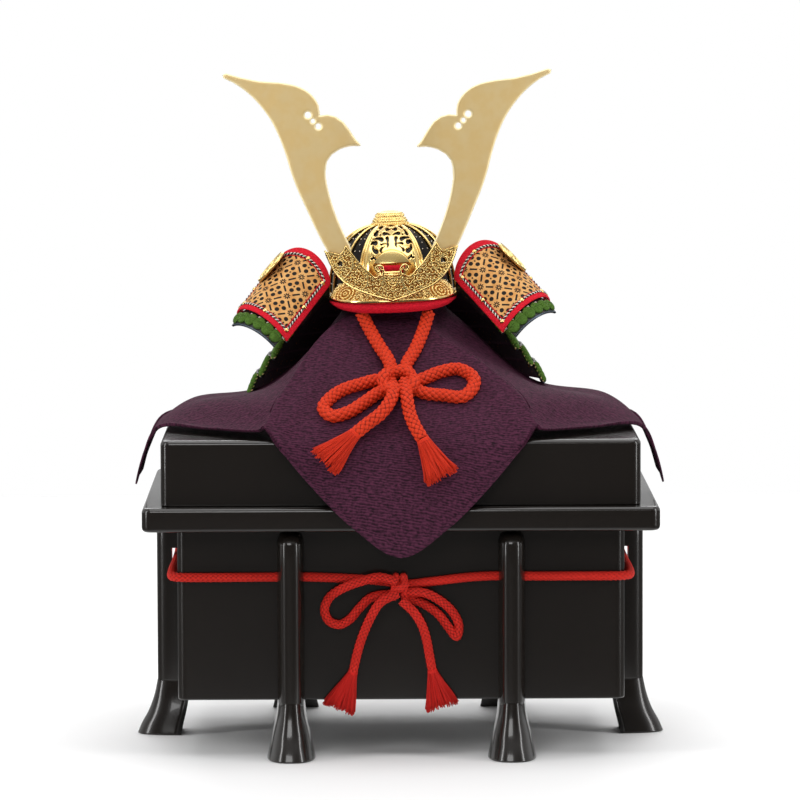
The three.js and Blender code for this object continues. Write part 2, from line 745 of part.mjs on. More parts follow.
function outline(points) {
  const shape = new THREE.Shape();
  points.forEach(([x, z], i) => (i === 0 ? shape.moveTo(x, z) : shape.lineTo(x, z)));
  shape.closePath();
  return shape;
}

function smooth(points, steps) {
  const curve = new THREE.SplineCurve(points.map(([x, z]) => new THREE.Vector2(x, z)));
  return curve.getPoints(steps).map((p) => [p.x, p.y]);
}

// The right half of the crest base, from the middle of the inner edge round to the bottom tip.
const BASE_INNER = [[0, 20], [7.5, 20.3], [11.6, 18.6], [16.8, 23.2], [22.6, 29.2], [27.6, 36], [31.3, 41.2]];
const BASE_OUTER = [[45.6, 37.2], [42.2, 28], [37.2, 19.6], [29.8, 12.6], [19.4, 7.8], [11, 4.8], [0, 1.6]];
const SOCKET_TOP = [[33.2, 37.4], [35.6, 34.9], [40, 36.3]];
const BASE_THICKNESS = 2;

function buildCrestBase() {
  const right = [...BASE_INNER, ...SOCKET_TOP, ...BASE_OUTER];
  const left = right.slice(1, -1).reverse().map(([x, z]) => [-x, z]);
  const shape = outline([...right, ...left]);
  for (const side of [-1, 1]) {
    const hole = new THREE.Path();
    hole.absellipse(side * 35.5, 28.6, 2.2, 1.7, 0, 2 * Math.PI);
    shape.holes.push(hole);
  }
  const geometry = new THREE.ExtrudeGeometry(shape, {
    depth: BASE_THICKNESS, bevelEnabled: false, curveSegments: 5 });
  geometry.translate(0, 0, -BASE_THICKNESS / 2);
  return bent(geometry);
}

// The right horn, from its foot up the inner edge, round the beak and lobe to the tip, and down.
const HORN_INNER = [[27.6, 38.6], [32.5, 50], [37.4, 63], [40.7, 75], [42.8, 87], [42.6, 94], [41.4, 99]];
const HORN_BEAK = [[38, 103.4], [31.9, 107], [24.6, 108.8], [17.9, 109], [21.3, 113.6], [25.1, 120]];
const HORN_LOBE = [[29.4, 126], [34.6, 129.6], [39.9, 131], [45.4, 130.4]];
const HORN_BROW = [[45.3, 132], [46, 138], [49.4, 143.8], [54.6, 148.4], [62, 151.8], [73, 154]];
const HORN_TIP = [[86, 155.2], [98, 158], [108.6, 161.2], [111.4, 160.6], [110.8, 158]];
const HORN_OUTER = [[104, 154.6], [97, 149.6], [90, 143], [83.6, 135], [78.6, 127], [73.6, 115.6],
  [69.8, 103.8], [66.6, 91.4], [62.4, 79], [57.4, 67], [51.8, 53.6], [44.6, 38.4]];
// Columns: centre across, centre up, radius.
const HORN_HOLES = [
  { x: 53.4, z: 131, r: 2.2 },
  { x: 50.2, z: 126.8, r: 1.5 },
  { x: 46.6, z: 123, r: 2 },
];

const HORN_FOOT = [38, 40];

function buildHorn(side) {
  const edge = [
    ...smooth(HORN_INNER, 9), ...smooth(HORN_BEAK, 6), ...HORN_LOBE, ...smooth(HORN_BROW, 6),
    ...HORN_TIP, ...smooth(HORN_OUTER, 12),
  ];
  const shape = outline(edge.map(([x, z]) => [side * x, z]));
  for (const row of HORN_HOLES) {
    const hole = new THREE.Path();
    hole.absarc(side * row.x, row.z, row.r, 0, 2 * Math.PI);
    shape.holes.push(hole);
  }
  const geometry = new THREE.ExtrudeGeometry(shape, {
    depth: HORN_THICKNESS, bevelEnabled: false, curveSegments: 5 });
  geometry.translate(0, 0, -HORN_THICKNESS / 2 + BASE_THICKNESS / 2 + HORN_THICKNESS / 2 + GAP);
  if (side > 0) settle(geometry);
  return bent(geometry);
}

// The right horn sits a little lower in its socket than the left, and leans out more.
function settle(geometry) {
  const [x, z] = HORN_FOOT;
  geometry.translate(-x, -z, 0);
  geometry.rotateZ(-radians(RIGHT_HORN_TURN));
  geometry.translate(x, z - RIGHT_HORN_DROP, 0);
}

addPiece(helmet, 'helmet_bowl', buildBowl(), COLOURS.lacquer);
addPiece(helmet, 'bowl_ribs', buildRibs(), COLOURS.gold);
addPiece(helmet, 'bowl_front_plate', buildFrontPlate(), COLOURS.gold);
addPiece(helmet, 'crown_finial', buildFinial(), COLOURS.gold);
addPiece(helmet, 'brim_plate', buildBrimPlate(), COLOURS.gold);
addPiece(helmet, 'brim_edge', buildBrimEdge(), COLOURS.red);
addPiece(helmet, 'crest_base', buildCrestBase(), COLOURS.gold);
addPiece(helmet, 'horn_left', buildHorn(-1), COLOURS.paleGold);
addPiece(helmet, 'horn_right', buildHorn(1), COLOURS.paleGold);

// Wings: each is part of a tube whose axis runs down, out and forward from the brim's end.
const WING_TOP = new THREE.Vector3(43, -28, 12.5);
const WING_AXIS = new THREE.Vector3(31.3, -30, -36).normalize();
const WING_ACROSS = new THREE.Vector3(-WING_AXIS.z, 0, WING_AXIS.x).normalize();
const WING_OUT = new THREE.Vector3().crossVectors(WING_AXIS, WING_ACROSS).normalize();

function wingPoint(side, turn, along, radius) {
  const start = radians(WING_START_TURN);
  const shift = [Math.cos(turn) * radius - Math.cos(start) * WING_RADIUS,
    Math.sin(turn) * radius - Math.sin(start) * WING_RADIUS];
  const place = WING_TOP.clone()
    .addScaledVector(WING_AXIS, along)
    .addScaledVector(WING_OUT, shift[0])
    .addScaledVector(WING_ACROSS, shift[1]);
  place.x *= side;
  return place;
}

// How far the top edge of a wing rises over the brim's end, and where its lower edge runs.
function wingTopEdge(turn) {
  const share = (turn - radians(WING_START_TURN)) / radians(WING_END_TURN - WING_START_TURN);
  return -13 * Math.sin(Math.PI * Math.min(share * 1.05, 1)) ** 0.7;
}

function wingLowEdge(turn) {
  return WING_LENGTH - 0.09 * THREE.MathUtils.radToDeg(turn - radians(WING_START_TURN));
}

function wingTurn(u) {
  return radians(WING_START_TURN + (WING_END_TURN - WING_START_TURN) * u);
}

function buildWing(side) {
  return wall((u, v) => {
    const turn = wingTurn(u);
    const [top, low] = [wingTopEdge(turn), wingLowEdge(turn)];
    return wingPoint(side, turn, top + (low - top) * v, WING_RADIUS);
  }, 12, 4, side * -WING_THICKNESS);
}

// The next lame's own turned-back end shows below the wing, a little behind it.
const UNDER_WING_START = 46;
const UNDER_WING_DROP = 12;

function buildUnderWing(side) {
  return wall((u, v) => {
    const turn = wingTurn(0.06 + 0.72 * u);
    const low = wingLowEdge(turn) + UNDER_WING_DROP * (0.75 + 0.35 * u);
    const radius = WING_RADIUS - WING_THICKNESS - 1.1;
    return wingPoint(side, turn, UNDER_WING_START + (low - UNDER_WING_START) * v, radius);
  }, 8, 1, side * -LAME_THICKNESS);
}

function buildRosette(side) {
  const r = ROSETTE_RADIUS;
  const disc = turned([
    [0, 0], [r, 0], [r, 1.6], [r - 0.8, 2.6], [r - 2.4, 2.6], [r - 3, 1.4],
    [5, 1.4], [4, 3], [0, 3.2],
  ], 14);
  const turn = radians(76);
  const normal = WING_OUT.clone().multiplyScalar(Math.cos(turn))
    .addScaledVector(WING_ACROSS, Math.sin(turn));
  normal.x *= side;
  const place = wingPoint(side, turn, 7, WING_RADIUS + GAP);
  const face = new THREE.Quaternion().setFromUnitVectors(new THREE.Vector3(0, 0, 1), normal);
  disc.applyQuaternion(face);
  disc.translate(place.x, place.y, place.z);
  return disc;
}

// Neck guard: lames on one cone, open at the front.
// Columns: half turn of the open front in degrees, one row for each lame from the top.
const LAME_OPENINGS = [56, 72.5, 74, 76, 78];

// The first lame's ends sweep out to the wings and end just inside their front edges.
const FLARE_SHARE = 0.055;

function flareEdge(side, v) {
  const turn = radians(WING_START_TURN + 7);
  return wingPoint(side, turn, 14 + 22 * v, WING_RADIUS - WING_THICKNESS - 1.7);
}

function buildLame(number) {
  const slope = (GUARD_BOTTOM_RADIUS - GUARD_TOP_RADIUS) / (LAME_COUNT * LAME_STEP);
  const top = GUARD_TOP - number * LAME_STEP;
  const open = radians(LAME_OPENINGS[number]);
  return wall((u, v) => {
    const turn = open + (2 * Math.PI - 2 * open) * u;
    const z = top - LAME_HEIGHT * v;
    const radius = GUARD_TOP_RADIUS + (GUARD_TOP - z) * slope + (0.5 - v) * 3.2;
    const place = new THREE.Vector3(radius * Math.sin(turn), -radius * Math.cos(turn), z);
    if (number > 0) {
      return place;
    }
    const away = Math.min(u, 1 - u) / FLARE_SHARE;
    const side = u < 0.5 ? 1 : -1;
    return place.lerp(flareEdge(side, v), Math.max(1 - away, 0) ** 1.5);
  }, 18, 1, -LAME_THICKNESS);
}

for (const [side, word] of [[-1, 'left'], [1, 'right']]) {
  addPiece(helmet, `wing_${word}`, buildWing(side), COLOURS.leather);
  addPiece(helmet, `under_wing_${word}`, buildUnderWing(side), COLOURS.green);
  addPiece(helmet, `wing_rosette_${word}`, buildRosette(side), COLOURS.gold);
}
for (let number = 0; number < LAME_COUNT; number += 1) {
  addPiece(helmet, `neck_lame_${number + 1}`, buildLame(number), COLOURS.green);
}

// Cords. Each knot is a flat rounded solid, and each stretch of cord is trimmed clear of it.
function knotSolid(knot, grow) {
  const geometry = new THREE.SphereGeometry(1, 10, 6);
  geometry.scale(knot.half[0] + grow, knot.half[1] + grow, knot.half[2] + grow);
  geometry.rotateX(knot.tilt);
  geometry.translate(...knot.centre);
  return geometry;
}

function trimmed(points, diameter, knot, stepsPerSpan) {
  return cut(tube(points, diameter, stepsPerSpan), [knotSolid(knot, GAP)]);
}

// A tassel opens from the cord's end to a flat oval brush. Its width lies square to facing.
function tassel(from, to, facing, startHalf, endHalf) {
  const start = new THREE.Vector3(...from);
  const axis = new THREE.Vector3(...to).sub(start);
  const length = axis.length();
  axis.normalize();
  const across = new THREE.Vector3(...facing).cross(axis).normalize();
  const out = axis.clone().cross(across).normalize();
  const rings = [0, 0.12, 0.55, 1].map((t) => {
    const ring = [];
    for (let i = 0; i < 10; i += 1) {
      const angle = (2 * Math.PI * i) / 10;
      const grow = t ** 0.8;
      const wide = startHalf + (endHalf[0] - startHalf) * grow;
      const thick = startHalf + (endHalf[1] - startHalf) * grow;
      ring.push(start.clone()
        .addScaledVector(axis, startHalf * 0.3 + (length - startHalf * 0.3) * t)
        .addScaledVector(across, wide * Math.cos(angle))
        .addScaledVector(out, thick * Math.sin(angle)));
    }
    return ring;
  });
  return loft(rings);
}

const HELMET_KNOT = { centre: [-1, -97.8, carried(253.2)], half: [14.5, 6.5, 13], tilt: radians(-52) };
// Columns: name, the points of its middle line.
const HELMET_CORD_RUNS = [
  { name: 'helmet_cord_strand_left', points: [
    [-26, -44, 297], [-21, -53, 287.5], [-14.5, -66, 277], [-7.5, -80, 266.8], [-5, -93, 257]] },
  { name: 'helmet_cord_strand_right', points: [
    [20, -44, 297], [16, -56, 285.5], [10.5, -70, 274], [4.6, -82, 265], [3, -93, 257]] },
  { name: 'helmet_cord_loop_left', points: [
    [-4, -98, 252.5], [-15, -94.5, 255], [-27, -96.5, 252.5], [-40, -101, 248.5], [-49, -108, 242.5],
    [-52, -114, 237.5], [-46, -120, 233], [-36, -118, 235], [-24, -110, 241.5], [-15.5, -103.8, 246.8],
    [-4, -98, 251.5]] },
  { name: 'helmet_cord_loop_right', points: [
    [2, -98, 252.5], [15, -93.5, 255.5], [26, -88.5, 259.5], [40, -85, 261.5], [50, -92, 256],
    [49, -100, 249.5], [42, -106, 244.5], [29, -105, 245.5], [16, -103.3, 247],
    [4, -97, 253]] },
  { name: 'helmet_cord_end_left', points: [
    [-4.9, -100, 252], [-5.7, -115, 245], [-12.8, -125, 235.5], [-23, -129.5, 228], [-31, -134.5, 222]] },
  { name: 'helmet_cord_end_right', points: [
    [3.0, -97.2, 254.2], [4.4, -115, 244.5], [6.2, -123, 235], [9.8, -131, 226.5], [15, -137.5, 218.2]] },
];
// Columns: name, where the cord ends, where the brush ends.
const HELMET_TASSELS = [
  { name: 'helmet_tassel_left', from: [-31, -134.5, 222], to: [-52, -141.5, 203] },
  { name: 'helmet_tassel_right', from: [15.2, -137.7, 217.8], to: [28, -145, 193] },
];
const CHEST_KNOT = { centre: [-1, -123.6, 117], half: [6.5, 5.8, 12.2], tilt: 0 };
const CHEST_CORD_RUNS = [
  { name: 'chest_cord_loop_left', points: [
    [-3, -127, 121], [-15, -127.6, 124], [-26, -127.6, 121.5], [-40, -125, 116], [-49, -121, 109],
    [-52, -121, 101], [-49, -121, 93.5], [-42, -121, 91], [-35, -121, 94.5], [-28, -121, 102.5],
    [-20, -121, 109.5], [-3, -122.5, 112]] },
  { name: 'chest_cord_loop_right', points: [
    [0, -124, 113], [15, -125.5, 113], [26, -123, 107.5], [35, -121, 99], [39, -121, 90],
    [37.5, -121, 82.5], [32, -121.5, 89], [25, -121, 98], [15, -121, 105], [1, -122, 111]] },
  { name: 'chest_cord_end_left', points: [
    [-2, -128, 113], [-14, -129.2, 107], [-20, -128, 98], [-26, -123, 84], [-30, -121, 71],
    [-33, -121, 58]] },
  { name: 'chest_cord_end_right', points: [
    [0, -127, 108], [8.6, -128.4, 100], [14, -127.6, 91], [17, -124, 81], [19, -121, 70],
    [21, -121, 59]] },
];
const CHEST_TASSELS = [
  { name: 'chest_tassel_left', from: [-33, -121, 58], to: [-43, -121.6, 33] },
  { name: 'chest_tassel_right', from: [21, -121, 59], to: [28, -121.6, 34] },
];

// The band runs from the knot round the case and back, through the slots of the legs.
function bandPoints() {
  const away = CHEST_CORD / 2 + 2 * GAP;
  const [x, y] = [CASE_WIDTH / 2 + away, CASE_DEPTH / 2 + away];
  const height = SLOT_MIDDLE + 1.5;
  const bend = CHEST_CORNER + away;
  const arc = (cx, cy, from) => [0, 1 / 3, 2 / 3, 1].map((t) => {
    const angle = from - t * Math.PI / 2;
    return [cx + bend * Math.cos(angle), cy + bend * Math.sin(angle), height];
  });
  return [
    [-5, -y, 119.5], [-22, -y, 121.5], [-62, -y, height], [-LEG_SPREAD - 20, -y, height],
    ...arc(-x + bend, -y + bend, 1.5 * Math.PI),
    [-x, -20, height], [-x, 20, height],
    ...arc(-x + bend, y - bend, Math.PI),
    [-LEG_SPREAD, y, height], [0, y, height], [LEG_SPREAD, y, height],
    ...arc(x - bend, y - bend, Math.PI / 2),
    [x, 20, height], [x, -20, height],
    ...arc(x - bend, -y + bend, 0),
    [LEG_SPREAD + 20, -y, height], [54, -y, height], [20, -y, 120], [3, -y, 118],
  ];
}

addPiece(chest, 'chest_cord_band', trimmed(bandPoints(), CHEST_CORD, CHEST_KNOT), COLOURS.scarlet);
addPiece(chest, 'chest_cord_knot', knotSolid(CHEST_KNOT, 0), COLOURS.scarlet);
for (const run of CHEST_CORD_RUNS) {
  addPiece(chest, run.name, trimmed(run.points, CHEST_CORD, CHEST_KNOT), COLOURS.scarlet);
}
for (const row of CHEST_TASSELS) {
  addPiece(chest, row.name, tassel(row.from, row.to, [0, -1, 0], 3, [9, 3.6]), COLOURS.scarlet);
}
addPiece(chest, 'helmet_cord_knot', knotSolid(HELMET_KNOT, 0), COLOURS.orange);
const placed = ([x, y, z]) => [x, y, carried(z)];
for (const run of HELMET_CORD_RUNS) {
  addPiece(chest, run.name, trimmed(run.points.map(placed), HELMET_CORD, HELMET_KNOT),
    COLOURS.orange);
}
for (const row of HELMET_TASSELS) {
  const brush = tassel(placed(row.from), placed(row.to), [0, -1, 0.3], 4.2, [9.5, 5]);
  addPiece(chest, row.name, brush, COLOURS.orange);
}

const object = new THREE.Group();
object.add(chest, helmet);
export default object;
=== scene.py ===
"""A miniature samurai helmet on a cloth-covered stand, on a black lacquered chest with six legs.

Lengths are millimetres until a piece becomes a mesh. The front faces -Y and left is -X.
"""
import logging
import math
from dataclasses import dataclass
from enum import Enum
from typing import Callable, Sequence

import bmesh
import bpy
import numpy as np
from mathutils import Matrix

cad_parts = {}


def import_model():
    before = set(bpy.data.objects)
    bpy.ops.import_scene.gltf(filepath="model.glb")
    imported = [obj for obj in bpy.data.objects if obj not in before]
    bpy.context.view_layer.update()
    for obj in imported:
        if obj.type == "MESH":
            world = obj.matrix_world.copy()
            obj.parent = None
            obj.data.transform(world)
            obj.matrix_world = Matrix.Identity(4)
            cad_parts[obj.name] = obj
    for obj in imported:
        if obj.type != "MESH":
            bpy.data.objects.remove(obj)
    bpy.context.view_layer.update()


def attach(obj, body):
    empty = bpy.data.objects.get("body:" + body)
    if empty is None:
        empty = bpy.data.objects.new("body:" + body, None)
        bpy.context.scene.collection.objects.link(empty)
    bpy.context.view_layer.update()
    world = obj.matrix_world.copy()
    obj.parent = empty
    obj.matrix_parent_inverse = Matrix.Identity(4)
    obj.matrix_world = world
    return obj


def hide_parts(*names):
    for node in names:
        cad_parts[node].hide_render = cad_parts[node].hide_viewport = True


LOG = logging.getLogger("helmet")
MM = 0.001
TAU = 2 * math.pi
Relief = Callable[[np.ndarray, np.ndarray], np.ndarray]


# curves and grids


def curve_through(points: np.ndarray, at: np.ndarray) -> np.ndarray:
    """Centripetal Catmull-Rom curve: each span is a cubic whose end slopes come from its neighbours.

    Args:
        points: the points to pass, along the first axis.
        at: places on the curve from 0 to 1, even from point to point.

    Returns:
        One point for each place, along the first axis.
    """
    p = np.asarray(points, float)
    ends = np.concatenate([2 * p[:1] - p[1:2], p, 2 * p[-1:] - p[-2:-1]])
    s = np.asarray(at, float) * (len(p) - 1)
    k = np.clip(np.floor(s).astype(int), 0, len(p) - 2)
    w = (s - k).reshape((-1,) + (1,) * (p.ndim - 1))
    p0, p1, p2, p3 = ends[k], ends[k + 1], ends[k + 2], ends[k + 3]

    def gap(a: np.ndarray, b: np.ndarray) -> np.ndarray:
        """The square root of the distance, which spaces the curve's knots."""
        return np.maximum(np.linalg.norm(b - a, axis=-1, keepdims=True) ** 0.5, 1e-3)

    d0, d1, d2 = gap(p0, p1), gap(p1, p2), gap(p2, p3)
    m1 = d1 * ((p1 - p0) / d0 - (p2 - p0) / (d0 + d1) + (p2 - p1) / d1)
    m2 = d1 * ((p2 - p1) / d1 - (p3 - p1) / (d1 + d2) + (p3 - p2) / d2)
    c2 = 3 * (p2 - p1) - 2 * m1 - m2
    c3 = 2 * (p1 - p2) + m1 + m2
    return p1 + w * (m1 + w * (c2 + w * c3))


def even_path(points: np.ndarray, step: float) -> np.ndarray:
    """The same curve sampled at equal steps of length.

    Args:
        points: the points to pass.
        step: the wanted distance between samples.

    Returns:
        The samples, with both ends kept.
    """
    fine = curve_through(points, np.linspace(0, 1, 60 * len(points)))
    run = run_along(fine)
    count = max(int(run[-1] / step), 3)
    at = np.linspace(0, run[-1], count + 1)
    return np.stack([np.interp(at, run, fine[:, k]) for k in range(3)], 1)


def run_along(path: np.ndarray) -> np.ndarray:
    """The length run from the first point of a line to each of its points."""
    return np.concatenate([[0], np.cumsum(np.linalg.norm(np.diff(path, axis=0), axis=1))])


def unit(vectors: np.ndarray) -> np.ndarray:
    """Vectors of length one in the same directions."""
    return vectors / np.linalg.norm(vectors, axis=-1, keepdims=True)


def length_of(path: np.ndarray) -> float:
    """The length of a line of points."""
    return float(np.linalg.norm(np.diff(path, axis=0), axis=1).sum())


def frames_along(path: np.ndarray) -> tuple[np.ndarray, np.ndarray]:
    """Two directions square to a path that never spin round it.

    Each station takes the axis that lies most across the path, and the turn from one station
    to the next is summed and taken out again.

    Args:
        path: the stations of the path.

    Returns:
        The two unit directions at each station.
    """
    tangent = unit(np.gradient(path, axis=0))
    helper = np.eye(3)[np.argmin(np.abs(tangent), axis=1)]
    n = unit(np.cross(tangent, helper))
    b = np.cross(tangent, n)
    spin = np.arctan2((n[:-1] * b[1:]).sum(1), (n[:-1] * n[1:]).sum(1))
    turn = np.concatenate([[0], np.cumsum(spin)])[:, None]
    side = n * np.cos(turn) + b * np.sin(turn)
    return side, np.cross(tangent, side)


@dataclass
class Form:
    """Points in millimetres, faces as index lists, and a uv pair for each corner of each face."""

    points: np.ndarray
    faces: list
    uv: np.ndarray

    def shifted(self, x: float, y: float, z: float) -> "Form":
        """The form moved by x, y and z."""
        return Form(self.points + np.array([x, y, z]), self.faces, self.uv)

    def turned(self, matrix: np.ndarray) -> "Form":
        """The form with a 3 by 3 matrix applied."""
        return Form(self.points @ np.asarray(matrix).T, self.faces, self.uv)


def joined(forms: Sequence[Form]) -> Form:
    """Several forms as one.

    Args:
        forms: the forms, each left as it is.

    Returns:
        One form that holds all their points and faces.
    """
    start = np.cumsum([0] + [len(f.points) for f in forms])
    faces = [[v + int(s) for v in face] for f, s in zip(forms, start) for face in f.faces]
    return Form(np.concatenate([f.points for f in forms]), faces, np.concatenate([f.uv for f in forms]))


def grid(
    points: np.ndarray,
    ring: bool = False,
    loop: bool = False,
    caps: bool = False,
    size: tuple[float, float] = (1.0, 1.0),
    uv: np.ndarray | None = None,
) -> Form:
    """Quads over a table of points, rows by columns by three.

    Args:
        points: the table.
        ring: the last column joins the first.
        loop: the last row joins the first.
        caps: the first and last rows are each closed with one face.
        size: how far uv runs across the columns and along the rows.
        uv: uv of each point, with one more column or row where the table closes.

    Returns:
        The form.
    """
    rows, cols = points.shape[:2]
    wide, tall = cols if ring else cols - 1, rows if loop else rows - 1
    j, i = np.meshgrid(np.arange(tall), np.arange(wide), indexing="ij")
    if uv is None:
        v, u = np.meshgrid(
            np.linspace(0, size[1], tall + 1), np.linspace(0, size[0], wide + 1), indexing="ij"
        )
        uv = np.stack([u, v], -1)
    i1, j1 = (i + 1) % cols, (j + 1) % rows
    quads = np.stack([j * cols + i, j * cols + i1, j1 * cols + i1, j1 * cols + i], -1).reshape(-1, 4)
    corner = np.stack([uv[j, i], uv[j, i + 1], uv[j + 1, i + 1], uv[j + 1, i]], 2).reshape(-1, 2)
    faces = quads.tolist()
    if caps:
        faces += [list(range(cols))[::-1], list(range((rows - 1) * cols, rows * cols))]
        corner = np.concatenate([corner, np.zeros((2 * cols, 2))])
    return Form(points.reshape(-1, 3), faces, corner)


def tube(
    path: np.ndarray,
    radius: float | np.ndarray,
    sides: int = 12,
    relief: Relief | None = None,
    flat: float = 1.0,
) -> Form:
    """A round section carried along a path, its radius times 1 plus a relief over angle and length.

    Args:
        path: the stations.
        radius: one radius, or one for each station.
        sides: points round the section.
        relief: gives the radius's share to add, from the angle and the length run so far.
        flat: the section's second direction is this much of the first.

    Returns:
        A closed form, with uv as turns round it and millimetres along it.
    """
    side, up = frames_along(path)
    angle = np.arange(sides) / sides * TAU
    run = run_along(path)
    r = np.broadcast_to(np.asarray(radius, float).reshape(-1, 1), (len(path), sides)).copy()
    if relief is not None:
        r *= 1 + relief(angle[None, :], run[:, None])
    ring = (
        r[..., None]
        * (np.cos(angle)[None, :, None] * side[:, None] + flat * np.sin(angle)[None, :, None] * up[:, None])
    )
    u = np.linspace(0, 1, sides + 1)
    uv = np.stack(np.broadcast_arrays(u[None, :], run[:, None]), -1)
    return grid(path[:, None] + ring, ring=True, caps=True, uv=uv)


def lathe(profile: np.ndarray, sides: int, ribs: Relief | None = None) -> Form:
    """A profile of radius and height turned round Z, with ribs adding to the radius.

    Args:
        profile: rows of radius and height, from the underside to the top.
        sides: points round it.
        ribs: gives the millimetres to add, from the angle and the row's number.

    Returns:
        A closed form.
    """
    angle = np.arange(sides) / sides * TAU
    r = np.repeat(profile[:, :1], sides, 1)
    if ribs is not None:
        r = r + ribs(angle[None, :], np.arange(len(profile))[:, None])
    z = np.repeat(profile[:, 1:], sides, 1)
    points = np.stack([r * np.cos(angle), r * np.sin(angle), z], -1)
    return grid(points, ring=True, caps=True)


def dome(radius: float, height: float, sides: int = 8, rings: int = 3) -> Form:
    """A small rounded stud: radius times cosine, height times sine, closed below."""
    a = np.linspace(0, math.pi / 2 * 0.93, rings + 1)
    profile = np.stack([radius * np.cos(a), height * np.sin(a)], 1)
    return lathe(np.concatenate([[[radius * 0.9, -0.25 * height]], profile]), sides)


def facing(normal: np.ndarray) -> np.ndarray:
    """A 3 by 3 matrix whose third column is the given direction."""
    z = unit(np.asarray(normal, float))
    x = unit(np.cross([0.0, 0.0, 1.0] if abs(z[2]) < 0.9 else [0.0, 1.0, 0.0], z))
    return np.stack([x, np.cross(z, x), z], 1)


def smoothstep(x: np.ndarray, low: float, high: float) -> np.ndarray:
    """0 below low, 1 above high, and a soft cubic between."""
    t = np.clip((x - low) / (high - low), 0, 1)
    return t * t * (3 - 2 * t)


# pierced and raised sheets


def polygon_distance(x: np.ndarray, y: np.ndarray, outline: np.ndarray) -> np.ndarray:
    """Signed distance to a closed outline, positive inside.

    The distance is the least over all edges, and the sign comes from how many edges a ray crosses.

    Args:
        x: places across.
        y: places up.
        outline: rows of x and y.

    Returns:
        The distance at each place.
    """
    shape = x.shape
    px, py = x.reshape(-1, 1), y.reshape(-1, 1)
    a, b = outline[None, :, :], np.roll(outline, -1, 0)[None, :, :]
    ex, ey = (b - a)[..., 0], (b - a)[..., 1]
    wx, wy = px - a[..., 0], py - a[..., 1]
    t = np.clip((wx * ex + wy * ey) / np.maximum(ex**2 + ey**2, 1e-9), 0, 1)
    d = np.sqrt(((wx - t * ex) ** 2 + (wy - t * ey) ** 2).min(1))
    crosses = (a[..., 1] > py) != (b[..., 1] > py)
    at = a[..., 0] + (py - a[..., 1]) * ex / np.where(ey == 0, 1e-9, ey)
    inside = ((crosses & (px < at)).sum(1) % 2) == 1
    return np.where(inside, d, -d).reshape(shape)


# Faces of a grid cell by which of its corners lie on the sheet. Corners 0 to 3 run round the
# cell, and 4 to 7 are the crossings on the sides that follow them.
CELL_FACES = {
    1: [[0, 4, 7]], 2: [[4, 1, 5]], 3: [[0, 1, 5, 7]], 4: [[5, 2, 6]], 5: [[0, 4, 7], [5, 2, 6]],
    6: [[4, 1, 2, 6]], 7: [[0, 1, 2, 6, 7]], 8: [[7, 6, 3]], 9: [[0, 4, 6, 3]],
    10: [[4, 1, 5], [7, 6, 3]], 11: [[0, 1, 5, 6, 3]], 12: [[7, 5, 2, 3]], 13: [[0, 4, 5, 2, 3]],
    14: [[4, 1, 2, 3, 7]], 15: [[0, 1, 2, 3]],
}


def pierced(
    across: np.ndarray,
    along: np.ndarray,
    field: np.ndarray,
    surface: Callable[[np.ndarray, np.ndarray, np.ndarray], np.ndarray],
) -> Form:
    """A sheet that is there only where a field is positive, with smooth cut edges.

    Each grid cell is cut where the field, taken as straight along its sides, passes zero.

    Args:
        across: the grid's first parameter, rising.
        along: the grid's second parameter, rising.
        field: the field, along by across.
        surface: gives points from the two parameters and the field there.

    Returns:
        An open form, facing the way that its parameters turn.
    """
    rows, cols = field.shape
    f = np.where(np.abs(field) < 1e-6, 1e-6, field)
    u, v = np.meshgrid(across, along)
    solid = f > 0

    def crossing(a: tuple, b: tuple) -> tuple[np.ndarray, np.ndarray]:
        """Where the field passes zero between two sets of corners."""
        t = np.clip(f[a] / np.where(f[a] == f[b], 1e-9, f[a] - f[b]), 0.02, 0.98)
        return u[a] + (u[b] - u[a]) * t, v[a] + (v[b] - v[a]) * t

    left, right = (slice(None), slice(0, -1)), (slice(None), slice(1, None))
    low, high = (slice(0, -1), slice(None)), (slice(1, None), slice(None))
    hu, hv = crossing(left, right)
    vu, vv = crossing(low, high)
    flat_u = np.concatenate([u.ravel(), hu.ravel(), vu.ravel()])
    flat_v = np.concatenate([v.ravel(), hv.ravel(), vv.ravel()])
    flat_f = np.concatenate([f.ravel(), np.zeros(hu.size + vu.size)])
    j, i = np.meshgrid(np.arange(rows - 1), np.arange(cols - 1), indexing="ij")
    start_h, start_v = rows * cols, rows * cols + hu.size
    ids = np.stack([
        j * cols + i, j * cols + i + 1, (j + 1) * cols + i + 1, (j + 1) * cols + i,
        start_h + j * (cols - 1) + i, start_v + j * cols + i + 1,
        start_h + (j + 1) * (cols - 1) + i, start_v + j * cols + i,
    ], -1)
    code = solid[:-1, :-1] + 2 * solid[:-1, 1:] + 4 * solid[1:, 1:] + 8 * solid[1:, :-1]
    faces: list = []
    for case, shapes in CELL_FACES.items():
        cells = ids[code == case]
        for shape in shapes:
            faces += cells[:, shape].tolist()
    used = np.unique(np.concatenate([np.asarray(face) for face in faces]))
    renamed = np.zeros(len(flat_u), int)
    renamed[used] = np.arange(len(used))
    faces = [renamed[face].tolist() for face in faces]
    points = surface(flat_u[used], flat_v[used], flat_f[used])
    uv = np.stack([flat_u[used], flat_v[used]], 1)[np.concatenate([np.asarray(face) for face in faces])]
    return Form(points, faces, uv)


# shader tools


